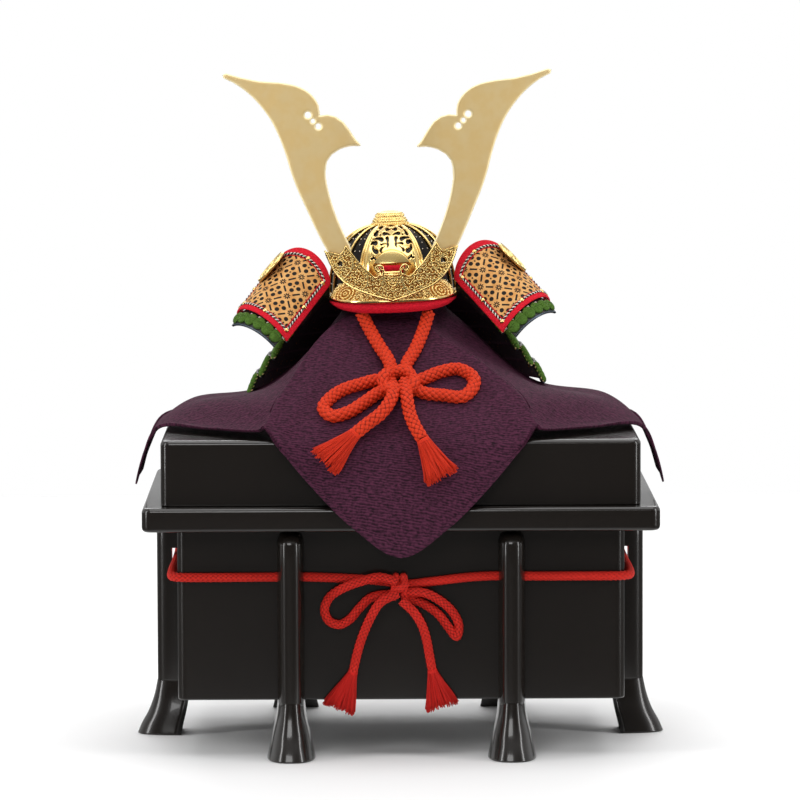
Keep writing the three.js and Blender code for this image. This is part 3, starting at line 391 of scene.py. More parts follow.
class Num:
    """A number in a shader, so that sums and products of numbers read as sums and products."""

    def __init__(self, tools: "Shader", socket: bpy.types.NodeSocket) -> None:
        """Keep the socket that carries the number."""
        self.tools, self.socket = tools, socket

    def __add__(self, other: object) -> "Num":
        """Sum."""
        return self.tools.math("ADD", self, other)

    def __sub__(self, other: object) -> "Num":
        """Difference."""
        return self.tools.math("SUBTRACT", self, other)

    def __mul__(self, other: object) -> "Num":
        """Product."""
        return self.tools.math("MULTIPLY", self, other)

    def __truediv__(self, other: object) -> "Num":
        """Quotient."""
        return self.tools.math("DIVIDE", self, other)

    def below(self, limit: float, soft: float) -> "Num":
        """1 well below the limit, 0 above it, with a soft edge."""
        return self.tools.ramp(self, limit + soft, limit - soft)

    def to(self, kind: str, other: object = 0.0) -> "Num":
        """Any other Math node, such as ABSOLUTE or MAXIMUM."""
        return self.tools.math(kind, self, other)


class Shader:
    """Adds and links nodes in a material or a node group."""

    def __init__(self, tree: bpy.types.NodeTree) -> None:
        """Keep the tree."""
        self.tree = tree

    def node(self, kind: str, **sockets: object) -> bpy.types.Node:
        """Add a node.

        Args:
            kind: the node's type, such as ShaderNodeTexNoise.
            sockets: values or links for its inputs, with spaces in their names as underscores.

        Returns:
            The node.
        """
        made = self.tree.nodes.new(kind)
        self.fill(made, **sockets)
        return made

    def fill(self, node: bpy.types.Node, **sockets: object) -> None:
        """Link or set a node's inputs, with spaces in their names as underscores."""
        for name, value in sockets.items():
            self.feed(node.inputs[name.replace("_", " ")], value)

    def feed(self, socket: bpy.types.NodeSocket, value: object) -> None:
        """Link or set one input."""
        if isinstance(value, Num):
            value = value.socket
        if isinstance(value, bpy.types.NodeSocket):
            self.tree.links.new(value, socket)
        else:
            socket.default_value = value

    def math(self, kind: str, a: object, b: object = 0.0) -> Num:
        """A Math node of two numbers."""
        made = self.tree.nodes.new("ShaderNodeMath")
        made.operation = kind
        self.feed(made.inputs[0], a)
        self.feed(made.inputs[1], b)
        return Num(self, made.outputs[0])

    def ramp(self, value: object, low: float, high: float) -> Num:
        """A smooth step of a number from 0 at low to 1 at high."""
        made = self.tree.nodes.new("ShaderNodeMapRange")
        made.interpolation_type = "SMOOTHSTEP"
        start = float(low > high)
        self.fill(made, Value=value, From_Min=min(low, high), From_Max=max(low, high))
        self.fill(made, To_Min=start, To_Max=1.0 - start)
        return Num(self, made.outputs["Result"])

    def split(self, vector: bpy.types.NodeSocket) -> tuple[Num, Num, Num]:
        """The three numbers of a vector."""
        made = self.node("ShaderNodeSeparateXYZ", Vector=vector)
        return tuple(Num(self, made.outputs[k]) for k in "XYZ")

    def vector(self, x: object, y: object, z: object = 0.0) -> bpy.types.NodeSocket:
        """A vector of three numbers."""
        return self.node("ShaderNodeCombineXYZ", X=x, Y=y, Z=z).outputs[0]

    def mix(self, share: object, a: object, b: object) -> bpy.types.NodeSocket:
        """A mix of two colours."""
        made = self.tree.nodes.new("ShaderNodeMix")
        made.data_type = "RGBA"
        self.fill(made, Factor=share, A=colour(a), B=colour(b))
        return made.outputs["Result"]

    def noise(self, vector: bpy.types.NodeSocket, scale: float, detail: float = 2.0) -> Num:
        """A noise texture's number."""
        made = self.node("ShaderNodeTexNoise", Vector=vector, Scale=scale, Detail=detail)
        return Num(self, made.outputs[0])

    def group(self, tree: bpy.types.NodeTree, **sockets: object) -> bpy.types.Node:
        """Place a shared node group."""
        made = self.tree.nodes.new("ShaderNodeGroup")
        made.node_tree = tree
        self.fill(made, **sockets)
        return made

    def relief(self, low: float, high: float) -> Num:
        """A smooth step of the relief attribute, which says how far a point stands up."""
        made = self.node("ShaderNodeAttribute")
        made.attribute_name = "relief"
        return self.ramp(made.outputs["Fac"], low, high)


def colour(value: object) -> object:
    """A hex colour as linear red, green, blue and alpha, and anything else unchanged."""
    if not isinstance(value, str):
        return value
    parts = [int(value[k : k + 2], 16) / 255 for k in (1, 3, 5)]
    linear = [c / 12.92 if c <= 0.04045 else ((c + 0.055) / 1.055) ** 2.4 for c in parts]
    return (*linear, 1.0)


Group = tuple[bpy.types.NodeTree, Shader, dict, bpy.types.Node]


def new_group(name: str, inputs: dict[str, float | tuple], outputs: Sequence[str]) -> Group:
    """Make an empty shader node group.

    Args:
        name: the group's name.
        inputs: its inputs and their usual values. A tuple makes a vector.
        outputs: the names of its numbers going out.

    Returns:
        The tree, its tools, its inputs' sockets by name, and the node that takes the outputs.
    """
    tree = bpy.data.node_groups.new(name, "ShaderNodeTree")
    for key, value in inputs.items():
        kind = "NodeSocketVector" if isinstance(value, tuple) else "NodeSocketFloat"
        made = tree.interface.new_socket(name=key, in_out="INPUT", socket_type=kind)
        made.default_value = value
    for key in outputs:
        tree.interface.new_socket(name=key, in_out="OUTPUT", socket_type="NodeSocketFloat")
    entry, leave = tree.nodes.new("NodeGroupInput"), tree.nodes.new("NodeGroupOutput")
    return tree, Shader(tree), {key: entry.outputs[key] for key in inputs}, leave


def grain_group() -> bpy.types.NodeTree:
    """Fine unevenness: two sizes of noise, one in the height and one as a slow mask."""
    tree, s, given, leave = new_group(
        "fine_grain", {"Place": (0.0, 0.0, 0.0), "Size": 1.0, "Depth": 1.0}, ["Height", "Mask"]
    )
    near = s.node("ShaderNodeTexNoise", Vector=given["Place"], Scale=given["Size"], Detail=4.0)
    far = s.math("MULTIPLY", given["Size"], 0.08)
    slow = s.node("ShaderNodeTexNoise", Vector=given["Place"], Scale=far, Detail=2.0)
    s.fill(leave, Height=s.math("MULTIPLY", near.outputs[0], given["Depth"]), Mask=slow.outputs[0])
    return tree


def crepe_group() -> bpy.types.NodeTree:
    """Crepe: short crinkles, each a noise stretched along one of two thread directions, over bent ribs."""
    tree, s, given, leave = new_group("crepe", {"Place": (0.0, 0.0, 0.0), "Pitch": 1.0}, ["Height", "Mask"])
    x, y, _ = s.split(given["Place"])
    pitch = Num(s, given["Pitch"])
    slow = s.noise(given["Place"], 0.09, 2.0)
    bend = (slow - 0.5) * 9.0
    along, over = (x * 0.98 + y * 0.17) / pitch, (y * 0.98 - x * 0.17) / pitch
    grain_a = s.noise(s.vector(along * 0.36, over * 1.15), 1.0, 1.5)
    grain_b = s.noise(s.vector(along * 0.9 + 40.0, over * 0.7), 1.0, 1.5)
    rib = (over * TAU * 0.8 + bend + (grain_a - 0.5) * 7.0).to("SINE")
    height = grain_a * 0.75 + grain_b * 0.55 + rib * 0.1
    # Mask rises with the height; the cloth finish paints shade in the crinkle's low parts from it.
    s.fill(leave, Height=height, Mask=s.ramp(height, 0.38, 0.88))
    return tree


def thread_group() -> bpy.types.NodeTree:
    """Silk threads: thin lines along uv, crossed where a braid's strands cross."""
    tree, s, given, leave = new_group(
        "silk_threads",
        {"Place": (0.0, 0.0, 0.0), "Strands": 8.0, "Pitch": 4.0, "Fine": 5.0},
        ["Height", "Mask"],
    )
    u, v, _ = s.split(given["Place"])
    along = v / given["Pitch"]
    a, b = u * given["Strands"] + along, u * given["Strands"] - along
    odd = (a.to("FLOOR") + b.to("FLOOR")).to("PINGPONG", 1.0)
    lines_a = (a * given["Fine"] * TAU).to("SINE")
    lines_b = (b * given["Fine"] * TAU).to("SINE")
    height = lines_a * s.math("SUBTRACT", 1.0, odd) + lines_b * odd
    s.fill(leave, Height=height, Mask=s.ramp(height, -1.0, 1.0))
    return tree


def print_group() -> bpy.types.NodeTree:
    """A printed lattice: stars at the crossings, bars between them and four dots in each square."""
    tree, s, given, leave = new_group("lattice_print", {"Place": (0.0, 0.0, 0.0), "Pitch": 13.0}, ["Ink"])
    u, v, _ = s.split(given["Place"])
    x = (u / given["Pitch"]).to("FRACT") - 0.5
    y = (v / given["Pitch"]).to("FRACT") - 0.5
    ax, ay = x.to("ABSOLUTE"), y.to("ABSOLUTE")

    def spot(dx: object, dy: object, radius: float) -> Num:
        """1 inside a round spot, from the distance to its middle."""
        return (dx * dx + dy * dy).to("SQRT").below(radius, 0.012)

    dots = spot(ax - 0.185, ay - 0.185, 0.122)
    middle = spot(x, y, 0.05)
    cx, cy = (ax * -1.0) + 0.5, (ay * -1.0) + 0.5
    flat_bar = ax.below(0.205, 0.012) * cy.below(0.05, 0.01)
    tall_bar = ay.below(0.205, 0.012) * cx.below(0.05, 0.01)
    r = (cx * cx + cy * cy).to("SQRT")
    cross = cx.to("MINIMUM", cy).below(0.03, 0.01)
    slant = (cx - cy).to("ABSOLUTE").below(0.05, 0.012)
    star = cross.to("MAXIMUM", slant) * r.below(0.185, 0.012) * (r.below(0.05, 0.02) * -1.0 + 1.0)
    ink = dots.to("MAXIMUM", middle).to("MAXIMUM", flat_bar).to("MAXIMUM", tall_bar).to("MAXIMUM", star)
    s.fill(leave, Ink=ink)
    return tree


SHARED: dict[str, bpy.types.NodeTree] = {}
MATERIALS: dict[str, bpy.types.Material] = {}
GROUP_MAKERS = {"grain": grain_group, "crepe": crepe_group, "threads": thread_group, "print": print_group}


def shared(name: str) -> bpy.types.NodeTree:
    """A shared node group, built the first time that it is asked for."""
    if name not in SHARED:
        SHARED[name] = GROUP_MAKERS[name]()
    return SHARED[name]


@dataclass(frozen=True)
class Finish:
    """A surface finish that becomes one material.

    Args:
        name: the material's name.
        slot: the record's material slot that it shows. Not used.
    """

    name: str
    slot: str

    def material(self) -> bpy.types.Material:
        """The material, made the first time."""
        if self.name in MATERIALS:
            return MATERIALS[self.name]
        made = MATERIALS[self.name] = bpy.data.materials.new(f"{self.name}_finish")
        made.use_nodes = True
        tree = made.node_tree
        self.paint(Shader(tree), tree.nodes["Principled BSDF"])
        return made

    def paint(self, s: Shader, bsdf: bpy.types.Node) -> None:
        """Build the nodes."""
        raise NotImplementedError

    def bump(self, s: Shader, bsdf: bpy.types.Node, height: object, depth: float) -> None:
        """Feed a height in millimetres times depth to the normal."""
        made = s.node("ShaderNodeBump", Strength=1.0, Distance=depth * MM, Height=height)
        s.fill(bsdf, Normal=made.outputs[0])

    def place(self, s: Shader) -> bpy.types.NodeSocket:
        """Object coordinates in millimetres."""
        made = s.tree.nodes.new("ShaderNodeVectorMath")
        made.operation = "SCALE"
        s.fill(made, Vector=s.node("ShaderNodeTexCoord").outputs["Object"], Scale=1 / MM)
        return made.outputs[0]

    def flat_place(self, s: Shader) -> bpy.types.NodeSocket:
        """The piece's own uv, in its own units."""
        return s.node("ShaderNodeTexCoord").outputs["UV"]


@dataclass(frozen=True)
class Lacquer(Finish):
    """Polished black lacquer: a dark base, a clear coat and a trace of dust."""

    tint: str = "#1a1613"
    rough: float = 0.16
    coat: float = 0.4
    shine: float = 0.4

    def paint(self, s: Shader, bsdf: bpy.types.Node) -> None:
        """Slow changes of gloss, and an all but flat orange peel."""
        place = self.place(s)
        grain = s.group(shared("grain"), Place=place, Size=0.25, Depth=1.0)
        dust = s.ramp(s.noise(place, 2.6, 5.0), 0.66, 0.80)
        base = s.mix(dust * 0.05, self.tint, "#6a6a6e")
        rough = Num(s, grain.outputs["Mask"]) * 0.10 + self.rough + dust * 0.12
        s.fill(bsdf, Base_Color=base, Roughness=rough)
        s.fill(bsdf, Coat_Weight=self.coat, Coat_Roughness=0.04, Specular_IOR_Level=self.shine)
        self.bump(s, bsdf, grain.outputs["Height"], 0.035)


@dataclass(frozen=True)
class Metal(Finish):
    """Plated metal that is bright on what stands up, with painted shade in its hollows."""

    tint: str = "#fadb90"
    deep: str = "#a8681c"
    rough: float = 0.2
    grain: float = 0.04
    low: float = 0.0
    high: float = 0.6
    metal: float = 1.0

    def paint(self, s: Shader, bsdf: bpy.types.Node) -> None:
        """The relief attribute mixes the bright tint with the deep colour on low points: painted shade in
        hollows; satin gold's deep colour is paler, a painted highlight on its edges.
        """
        place = self.place(s)
        grain = s.group(shared("grain"), Place=place, Size=1.2, Depth=1.0)
        up = s.relief(self.low, self.high)
        warm = s.ramp(grain.outputs["Mask"], 0.3, 0.7)
        bright = s.mix(warm, self.tint, self.tint_shade())
        rough = Num(s, grain.outputs["Mask"]) * 0.12 + self.rough + (up * -0.2 + 0.2)
        # Base colour: the deep colour on low relief is painted shade (for satin gold, a painted highlight).
        s.fill(bsdf, Base_Color=s.mix(up, self.deep, bright), Metallic=self.metal, Roughness=rough)
        self.bump(s, bsdf, grain.outputs["Height"], self.grain)

    def tint_shade(self) -> str:
        """The tint a little deeper, for slow changes of the plating."""
        shares = (1, 0.99), (3, 0.97), (5, 0.92)
        return "#" + "".join(f"{int(int(self.tint[k:k + 2], 16) * f):02x}" for k, f in shares)


@dataclass(frozen=True)
class Cloth(Finish):
    """Crepe silk with a fine crinkle, on its own uv in millimetres."""

    tint: str = "#50243b"
    shade: str = "#1f0c18"
    pitch: float = 1.6
    depth: float = 0.42

    def paint(self, s: Shader, bsdf: bpy.types.Node) -> None:
        """The crinkle's low parts are darker: painted shade in the crinkle."""
        crepe = s.group(shared("crepe"), Place=self.flat_place(s), Pitch=self.pitch)
        base = s.mix(crepe.outputs["Mask"], self.shade, self.tint)
        s.fill(bsdf, Base_Color=base, Roughness=0.82, Specular_IOR_Level=0.15)
        self.bump(s, bsdf, crepe.outputs["Height"], self.depth)


@dataclass(frozen=True)
class Silk(Finish):
    """Silk threads along a piece's own uv, for braids, tassels, lacing and stitching."""

    tint: str = "#de3a16"
    shade: str = "#640d03"
    strands: float = 6.0
    pitch: float = 4.6
    fine: float = 4.0
    depth: float = 0.08

    def paint(self, s: Shader, bsdf: bpy.types.Node) -> None:
        """Thread lines and the relief attribute, which is low between strands, set the colour: painted shade
        between the strands and in the grooves between threads.
        """
        threads = s.group(
            shared("threads"),
            Place=self.flat_place(s),
            Strands=self.strands,
            Pitch=self.pitch,
            Fine=self.fine,
        )
        line = Num(s, threads.outputs["Mask"]) * 0.25 + 0.75
        base = s.mix(s.relief(0.0, 0.7) * line, self.shade, self.tint)
        s.fill(bsdf, Base_Color=base, Roughness=0.6, Specular_IOR_Level=0.2)
        self.bump(s, bsdf, threads.outputs["Height"], self.depth)


@dataclass(frozen=True)
class PrintedLeather(Finish):
    """Tan leather with a black printed lattice, on uv in millimetres."""

    tint: str = "#d9a566"
    ink: str = "#15100c"

    def paint(self, s: Shader, bsdf: bpy.types.Node) -> None:
        """Ink over a tan that changes slowly, with a pebbled grain that the ink sinks into."""
        place = self.flat_place(s)
        ink = s.group(shared("print"), Place=place, Pitch=13.3).outputs["Ink"]
        grain = s.group(shared("grain"), Place=place, Size=1.5, Depth=1.0)
        tan = s.mix(s.ramp(grain.outputs["Mask"], 0.35, 0.65), "#c98f50", self.tint)
        base, rough = s.mix(ink, tan, self.ink), Num(s, ink) * -0.1 + 0.7
        s.fill(bsdf, Base_Color=base, Roughness=rough, Specular_IOR_Level=0.2)
        self.bump(s, bsdf, Num(s, grain.outputs["Height"]) * 0.5 + Num(s, ink) * -0.8, 0.12)


@dataclass(frozen=True)
class Timber(Finish):
    """Plain turned wood with straight grain along Z."""

    tint: str = "#a5774a"
    shade: str = "#6f4a2a"

    def paint(self, s: Shader, bsdf: bpy.types.Node) -> None:
        """Noise stretched along Z makes the grain."""
        x, y, z = s.split(self.place(s))
        lines = s.noise(s.vector(x * 1.2, y * 1.2, z * 0.05), 1.0, 4.0)
        base = s.mix(s.ramp(lines, 0.35, 0.65), self.shade, self.tint)
        s.fill(bsdf, Base_Color=base, Roughness=lines * 0.2 + 0.45)
        self.bump(s, bsdf, lines, 0.1)


@dataclass(frozen=True)
class SpeckledIron(Finish):
    """Dark iron with flecks of gold leaf."""

    tint: str = "#0d0c0c"
    fleck: str = "#9c7430"

    def paint(self, s: Shader, bsdf: bpy.types.Node) -> None:
        """Only the peaks of a noise carry gold."""
        place = self.place(s)
        gold = s.ramp(s.noise(place, 0.55, 5.0), 0.63, 0.69)
        base = s.mix(gold, self.tint, self.fleck)
        s.fill(bsdf, Base_Color=base, Metallic=gold * 0.9, Roughness=gold * -0.1 + 0.48)
        self.bump(s, bsdf, gold, 0.05)


CHEST_BLACK = Lacquer("chest_black", "lacquer")
BOWL_BLACK = Lacquer("bowl_black", "bowl_lacquer", tint="#0d0907", rough=0.34, coat=0.0, shine=0.14)
# The deep colours of the golds are painted shade in hollows; satin gold's paler deep colour is a painted
# highlight along the horns' bevelled edges.
GOLD = Metal("gold_plate", "gold", metal=0.85)
BRIGHT_GOLD = Metal("polished_gold", "gold", tint="#f8da92", deep="#9a5c18", rough=0.1, grain=0.01)
SATIN_GOLD = Metal(
    "satin_gold", "pale_gold", tint="#e6cb92", deep="#fff0c4", rough=0.36, grain=0.01, high=1.0, metal=0.5
)
PLUM_CREPE = Cloth("plum_crepe", "plum_cloth")
RED_CLOTH = Cloth("red_binding", "red_lacquer", tint="#dc1c30", shade="#a80d1c", pitch=0.8, depth=0.08)
ORANGE_BRAID = Silk("orange_braid", "orange_cord")
SCARLET_BRAID = Silk("scarlet_braid", "red_cord", tint="#d8281c", shade="#560706", pitch=3.4)
ORANGE_THREAD = Silk(
    "orange_thread", "orange_cord", tint="#e6381a", shade="#a81a08", strands=4.0, pitch=400.0, fine=1.0
)
SCARLET_THREAD = Silk(
    "scarlet_thread", "red_cord", tint="#da261e", shade="#9a100c", strands=4.0, pitch=400.0, fine=1.0
)
GREEN_LACING = Silk(
    "green_lacing",
    "laced_lames",
    tint="#5c842e",
    shade="#1a300c",
    strands=3.0,
    pitch=2.4,
    fine=2.0,
    depth=0.2,
)
WHITE_TWIST = Silk(
    "white_stitching", "printed_leather", tint="#efeade", shade="#8a8478", strands=1.0, pitch=1.2, fine=2.0
)
BLACK_TWIST = Silk(
    "black_stitching", "printed_leather", tint="#191613", shade="#080706", strands=1.0, pitch=1.2, fine=2.0
)
LEATHER = PrintedLeather("printed_leather", "printed_leather")
POST_WOOD = Timber("post_wood", "post_wood")
DARK_IRON = SpeckledIron("speckled_iron", "laced_lames")
# Pale metal for the bowl's studs: a painted highlight standing in for glints on studs that are black lacquer.
PAINTED_HIGHLIGHT_STUDS = Metal("painted_highlight_studs", "bowl_lacquer", tint="#d8d4cc", deep="#d8d4cc", rough=0.25)
STEEL_EDGE = Metal("steel_edge", "laced_lames", tint="#5a6674", deep="#10141c", rough=0.3)


def make_piece(
    name: str,
    form: Form,
    finish: Finish,
    nodes: Sequence[str] = (),
    relief: np.ndarray | None = None,
    thickness: float = 0.0,
    offset: float = -1.0,
    bevelled: bool = False,
) -> bpy.types.Object:
    """Turn a form into a mesh piece of the object.

    Args:
        name: the piece's name.
        form: its shape in millimetres.
        finish: its finish.
        nodes: the solids that it stands for.
        relief: how far each point stands up, from 0 to 1. The metal and silk finishes paint shade on its low
            points, and satin gold paints a highlight there.
        thickness: a wall to give an open form, in millimetres. A closed form has none.
        offset: -1 grows the wall behind the faces, 1 before them.
        bevelled: flat faces keep flat shading next to their rounded edges.

    Returns:
        The object.
    """
    mesh = bpy.data.meshes.new(name)
    mesh.from_pydata((form.points * MM).tolist(), [], form.faces)
    layer = mesh.uv_layers.new(name="UVMap")
    layer.data.foreach_set("uv", np.asarray(form.uv, np.float32).ravel())
    mark = mesh.attributes.new("relief", "FLOAT", "POINT")
    levels = np.ones(len(form.points)) if relief is None else np.asarray(relief)
    mark.data.foreach_set("value", levels.astype(np.float32).ravel())
    if not thickness:
        work = bmesh.new()
        work.from_mesh(mesh)
        bmesh.ops.recalc_face_normals(work, faces=work.faces)
        work.to_mesh(mesh)
        work.free()
    piece = bpy.data.objects.new(name, mesh)
    bpy.context.collection.objects.link(piece)
    mesh.materials.append(finish.material())
    mesh.shade_smooth()
    if bevelled:
        made = piece.modifiers.new("flat_faces", "WEIGHTED_NORMAL")
        made.weight = 90
    if thickness:
        wall = piece.modifiers.new("wall", "SOLIDIFY")
        wall.thickness = thickness * MM
        wall.offset = offset
    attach(piece, "root")
    if nodes:
        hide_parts(*nodes)
    LOG.info("%s: %d faces", name, len(form.faces))
    return piece


# cords


def braid(strands: int, pitch: float, depth: float) -> Relief:
    """The relief of a round braid: strands of two leans that pass over each other by turns.

    Each diamond between two strand lines holds the strand on top, rounded across its width and
    a little along it.

    Args:
        strands: diamonds round the cord.
        pitch: the length of a diamond in millimetres.
        depth: how deep the gaps go, as a share of the radius.

    Returns:
        A function of angle and length.
    """

    def relief(angle: np.ndarray, run: np.ndarray) -> np.ndarray:
        """The share of the radius to add, never above zero."""
        a = angle / TAU * strands + run / pitch
        b = angle / TAU * strands - run / pitch
        odd = (np.floor(a) + np.floor(b)) % 2 > 0.5
        fa, fb = a % 1, b % 1
        across, along = np.where(odd, fa, fb), np.where(odd, fb, fa)
        high = (
            np.sqrt(np.maximum(1 - (2 * across - 1) ** 2, 0.0))
            * (0.35 + 0.65 * np.sin(math.pi * along) ** 0.6)
        )
        return depth * (high - 1)

    return relief


@dataclass
class Run:
    """One stretch of cord and where it goes."""

    name: str
    points: list


@dataclass
class Tassel:
    """A tassel on the end of a run.

    Args:
        run: the run that it hangs on.
        name: its name.
        start: its binding.
        end: the middle of its threads' ends.
        facing: the direction in which its flat side looks.
        neck: the binding's radius.
        half: half its width and half its thickness at the ends.
    """

    run: str
    name: str
    start: tuple
    end: tuple
    facing: tuple
    neck: float
    half: tuple


class Lean(Enum):
    """Which side of the middle a piece is on."""

    LEFT = -1
    RIGHT = 1

    @property
    def word(self) -> str:
        """The side's name in piece names."""
        return self.name.lower()


@dataclass
class CordWork:
    """A braided cord: its runs, their knot and the tassels on its ends."""

    prefix: str
    diameter: float
    strands: int
    pitch: float
    silk: Silk
    thread: Silk
    knot_centre: tuple
    knot_tilt: float
    runs: list
    tassels: list
    depth: float = 0.3
    fullness: float = 1.04
    long_run: float = 400

    def build(self) -> None:
        """Build the knot, then the runs that start from it, then the tassels."""
        knot = self.build_knot()
        tassels = {row.run: self.build_tassel(row) for row in self.tassels}
        for run in self.runs:
            self.build_run(run)

    def build_run(self, run: Run) -> None:
        """Args:
            run: its name and points.
        """
        fine = 6 if length_of(np.array(run.points, float)) > self.long_run else 8
        path = even_path(np.array(run.points, float), self.pitch / fine)
        relief = braid(self.strands, self.pitch, self.depth)
        radius = np.full(len(path), self.diameter / 2 * self.fullness)
        form = tube(path, radius, self.strands * fine, relief)
        piece = make_piece(run.name + "_braid", form, self.silk, [run.name], self.heights(form, path, radius))

    def heights(self, form: Form, path: np.ndarray, radius: np.ndarray) -> np.ndarray:
        """How far each point of a braid stands out, from its distance to the path over the radius."""
        table = form.points.reshape(len(path), -1, 3)
        away = np.linalg.norm(table - path[:, None], axis=2) / radius[:, None]
        # The silk finish paints shade where this is low, between the strands.
        return np.clip((away.ravel() - 1 + self.depth) / self.depth, 0, 1)

    def knot_arcs(self) -> list[np.ndarray]:
        """The middle lines of the knot's wraps, flat in X and Z with Y towards the viewer negative."""
        raise NotImplementedError

    def build_knot(self) -> bpy.types.Object:
        """Braid the knot's wraps as one piece."""
        tilt = self.knot_tilt
        c, s = math.cos(tilt), math.sin(tilt)
        turn = np.array([[1, 0, 0], [0, c, -s], [0, s, c]])
        relief = braid(self.strands, self.pitch, self.depth)
        forms, marks = [], []
        for arc in self.knot_arcs():
            path = even_path(arc @ turn.T + np.array(self.knot_centre), self.pitch / 8)
            ends = np.minimum(np.arange(len(path)), np.arange(len(path))[::-1])
            radius = self.diameter / 2 * (0.72 + 0.28 * smoothstep(ends, 0, 5))
            form = tube(path, radius, self.strands * 8, relief)
            forms.append(form)
            marks.append(self.heights(form, path, radius))
        name = self.prefix + "_cord_knot"
        return make_piece(name + "_braid", joined(forms), self.silk, [name], np.concatenate(marks))

    def build_tassel(self, row: Tassel) -> bpy.types.Object:
        """A brush of loose threads under a short binding.

        Each thread leaves the binding on a disc and ends on a wider flat oval, and its path is a
        line bent by a small share of its own.

        Args:
            row: where it hangs and how wide it is.

        Returns:
            The piece.
        """
        rng = np.random.default_rng(len(row.name) * 7 + int(abs(row.end[0]) * 10))
        start, end = np.array(row.start, float), np.array(row.end, float)
        axis = unit(end - start)
        across = unit(np.cross(np.array(row.facing, float), axis))
        out = np.cross(axis, across)
        count, steps, sides = 300, 8, 4
        angle = rng.uniform(0, TAU, count)
        share = np.sqrt(rng.uniform(0.02, 1, count))
        share[: count // 2] = rng.uniform(0.82, 1.0, count // 2)
        t = np.linspace(0, 1, steps)[:, None]
        reach = np.linalg.norm(end - start) * rng.uniform(0.88, 1.03, count)
        reach *= 0.8 + 0.2 * smoothstep(share, 0.4, 0.85)
        grow = 1.45 * t**1.1
        wide = (row.neck + (row.half[0] - row.neck) * grow) * share * np.cos(angle)
        thick = (row.neck + (row.half[1] - row.neck) * grow) * share * np.sin(angle)
        wave = np.sin(t * rng.uniform(3, 7, count) + rng.uniform(0, TAU, count))
        wave = wave * t * rng.normal(0, 0.35, count)
        middle = (
            start
            + (t * reach)[..., None] * axis
            + (wide + wave)[..., None] * across
            + (thick + wave * 0.6)[..., None] * out
        )
        corner = np.arange(sides) / sides * TAU
        ring = 0.34 * (np.cos(corner)[:, None] * across + np.sin(corner)[:, None] * out)
        table = middle[:, :, None, :] + ring
        forms = [grid(table[:, k], ring=True, caps=True, size=(1.0, 30.0)) for k in range(count)]
        # Each thread's relief: a random tone, times painted shade on the threads deep inside the brush.
        depths = rng.uniform(0.3, 1.0, count) * smoothstep(share, 0.25, 0.9)
        levels = [np.full(steps * sides, level) for level in depths]
        turns = np.linspace(0, 1, 60)[:, None]
        round_it = np.cos(turns * TAU * 3) * across + np.sin(turns * TAU * 3) * out
        binding = tube(start + (turns * 2.2 - 0.6) * axis + row.neck * 0.98 * round_it, 0.5, 6)
        levels.append(np.full(len(binding.points), 0.8))
        form = joined([*forms, binding])
        return make_piece(row.name + "_threads", form, self.thread, [row.name], np.concatenate(levels))


@dataclass
class HelmetCord(CordWork):
    """The helmet's chin cord, brought together before the cloth in a four-lobed bow knot."""

    def knot_arcs(self) -> list[np.ndarray]:
        """Four wraps round a small hole, each starting under the one before and ending over the next."""
        arcs = []
        for k in range(4):
            a = np.linspace(-0.95, 0.95, 7) + k * math.pi / 2 + 0.45
            r = 9.8 - 1.4 * np.linspace(-1, 1, 7) ** 2
            lift = np.array([-1.8, -3.0, -4.2, -4.6, -3.7, -1.9, 0.8]) + 1.4
            arcs.append(np.stack([r * 1.1 * np.sin(a), lift, r * np.cos(a)], 1))
        return arcs


@dataclass
class ChestCord(CordWork):
    """The cord tied round the chest, with a narrow bow knot of upright wraps."""

    def knot_arcs(self) -> list[np.ndarray]:
        """Two upright wraps side by side, and one slanting over their middle."""
        t = np.linspace(-1.25, 1.25, 7)
        upright = [
            np.stack([np.full(7, x) + lean * np.sin(t), 2.4 - 3.9 * np.cos(t), 8.6 * np.sin(t)], 1)
            for x, lean in ((-3.1, 0.8), (3.0, -0.6))
        ]
        s = np.linspace(-1, 1, 7)
        return [*upright, np.stack([5.4 * s, 0.6 - 4.2 * np.cos(s * 1.3), 3.2 * s - 0.5], 1)]


HELMET_CORD_RUNS = [
    Run(
        "helmet_cord_strand_left",
        [[-26, -44, 297], [-21, -53, 287.5], [-14.5, -66, 277], [-7.5, -80, 266.8], [-5, -93, 257]],
    ),
    Run(
        "helmet_cord_strand_right",
        [[20, -44, 297], [16, -56, 285.5], [10.5, -70, 274], [4.6, -82, 265], [3, -93, 257]],
    ),
    Run("helmet_cord_loop_left", [
        [-4, -98, 252.5], [-15, -94.5, 255], [-27, -96.5, 252.5], [-40, -101, 248.5], [-49, -108, 242.5],
        [-52, -114, 237.5], [-46, -120, 233], [-36, -118, 235], [-24, -110, 241.5], [-15.5, -103.8, 246.8],
        [-4, -98, 251.5]]),
    Run("helmet_cord_loop_right", [
        [2, -98, 252.5], [15, -93.5, 255.5], [26, -88.5, 259.5], [40, -85, 261.5], [50, -92, 256],
        [49, -100, 249.5], [42, -106, 244.5], [29, -105, 245.5], [16, -103.3, 247], [4, -97, 253]]),
    Run(
        "helmet_cord_end_left",
        [[-4.9, -100, 252], [-5.7, -115, 245], [-12.8, -125, 235.5], [-23, -129.5, 228], [-31, -134.5, 222]],
    ),
    Run(
        "helmet_cord_end_right",
        [[3.0, -97.2, 254.2], [4.4, -115, 244.5], [6.2, -123, 235], [9.8, -131, 226.5], [15, -137.5, 218.2]],
    ),
]
HELMET_TASSELS = [
    Tassel(
        "helmet_cord_end_left", "helmet_tassel_left",
        (-31, -134.5, 222), (-52, -141.5, 203), (0, -1, 0.3), 4.2, (9.5, 5),
    ),
    Tassel(
        "helmet_cord_end_right", "helmet_tassel_right",
        (15.2, -137.7, 217.8), (28, -145, 193), (0, -1, 0.3), 4.2, (9.5, 5),
    ),
]
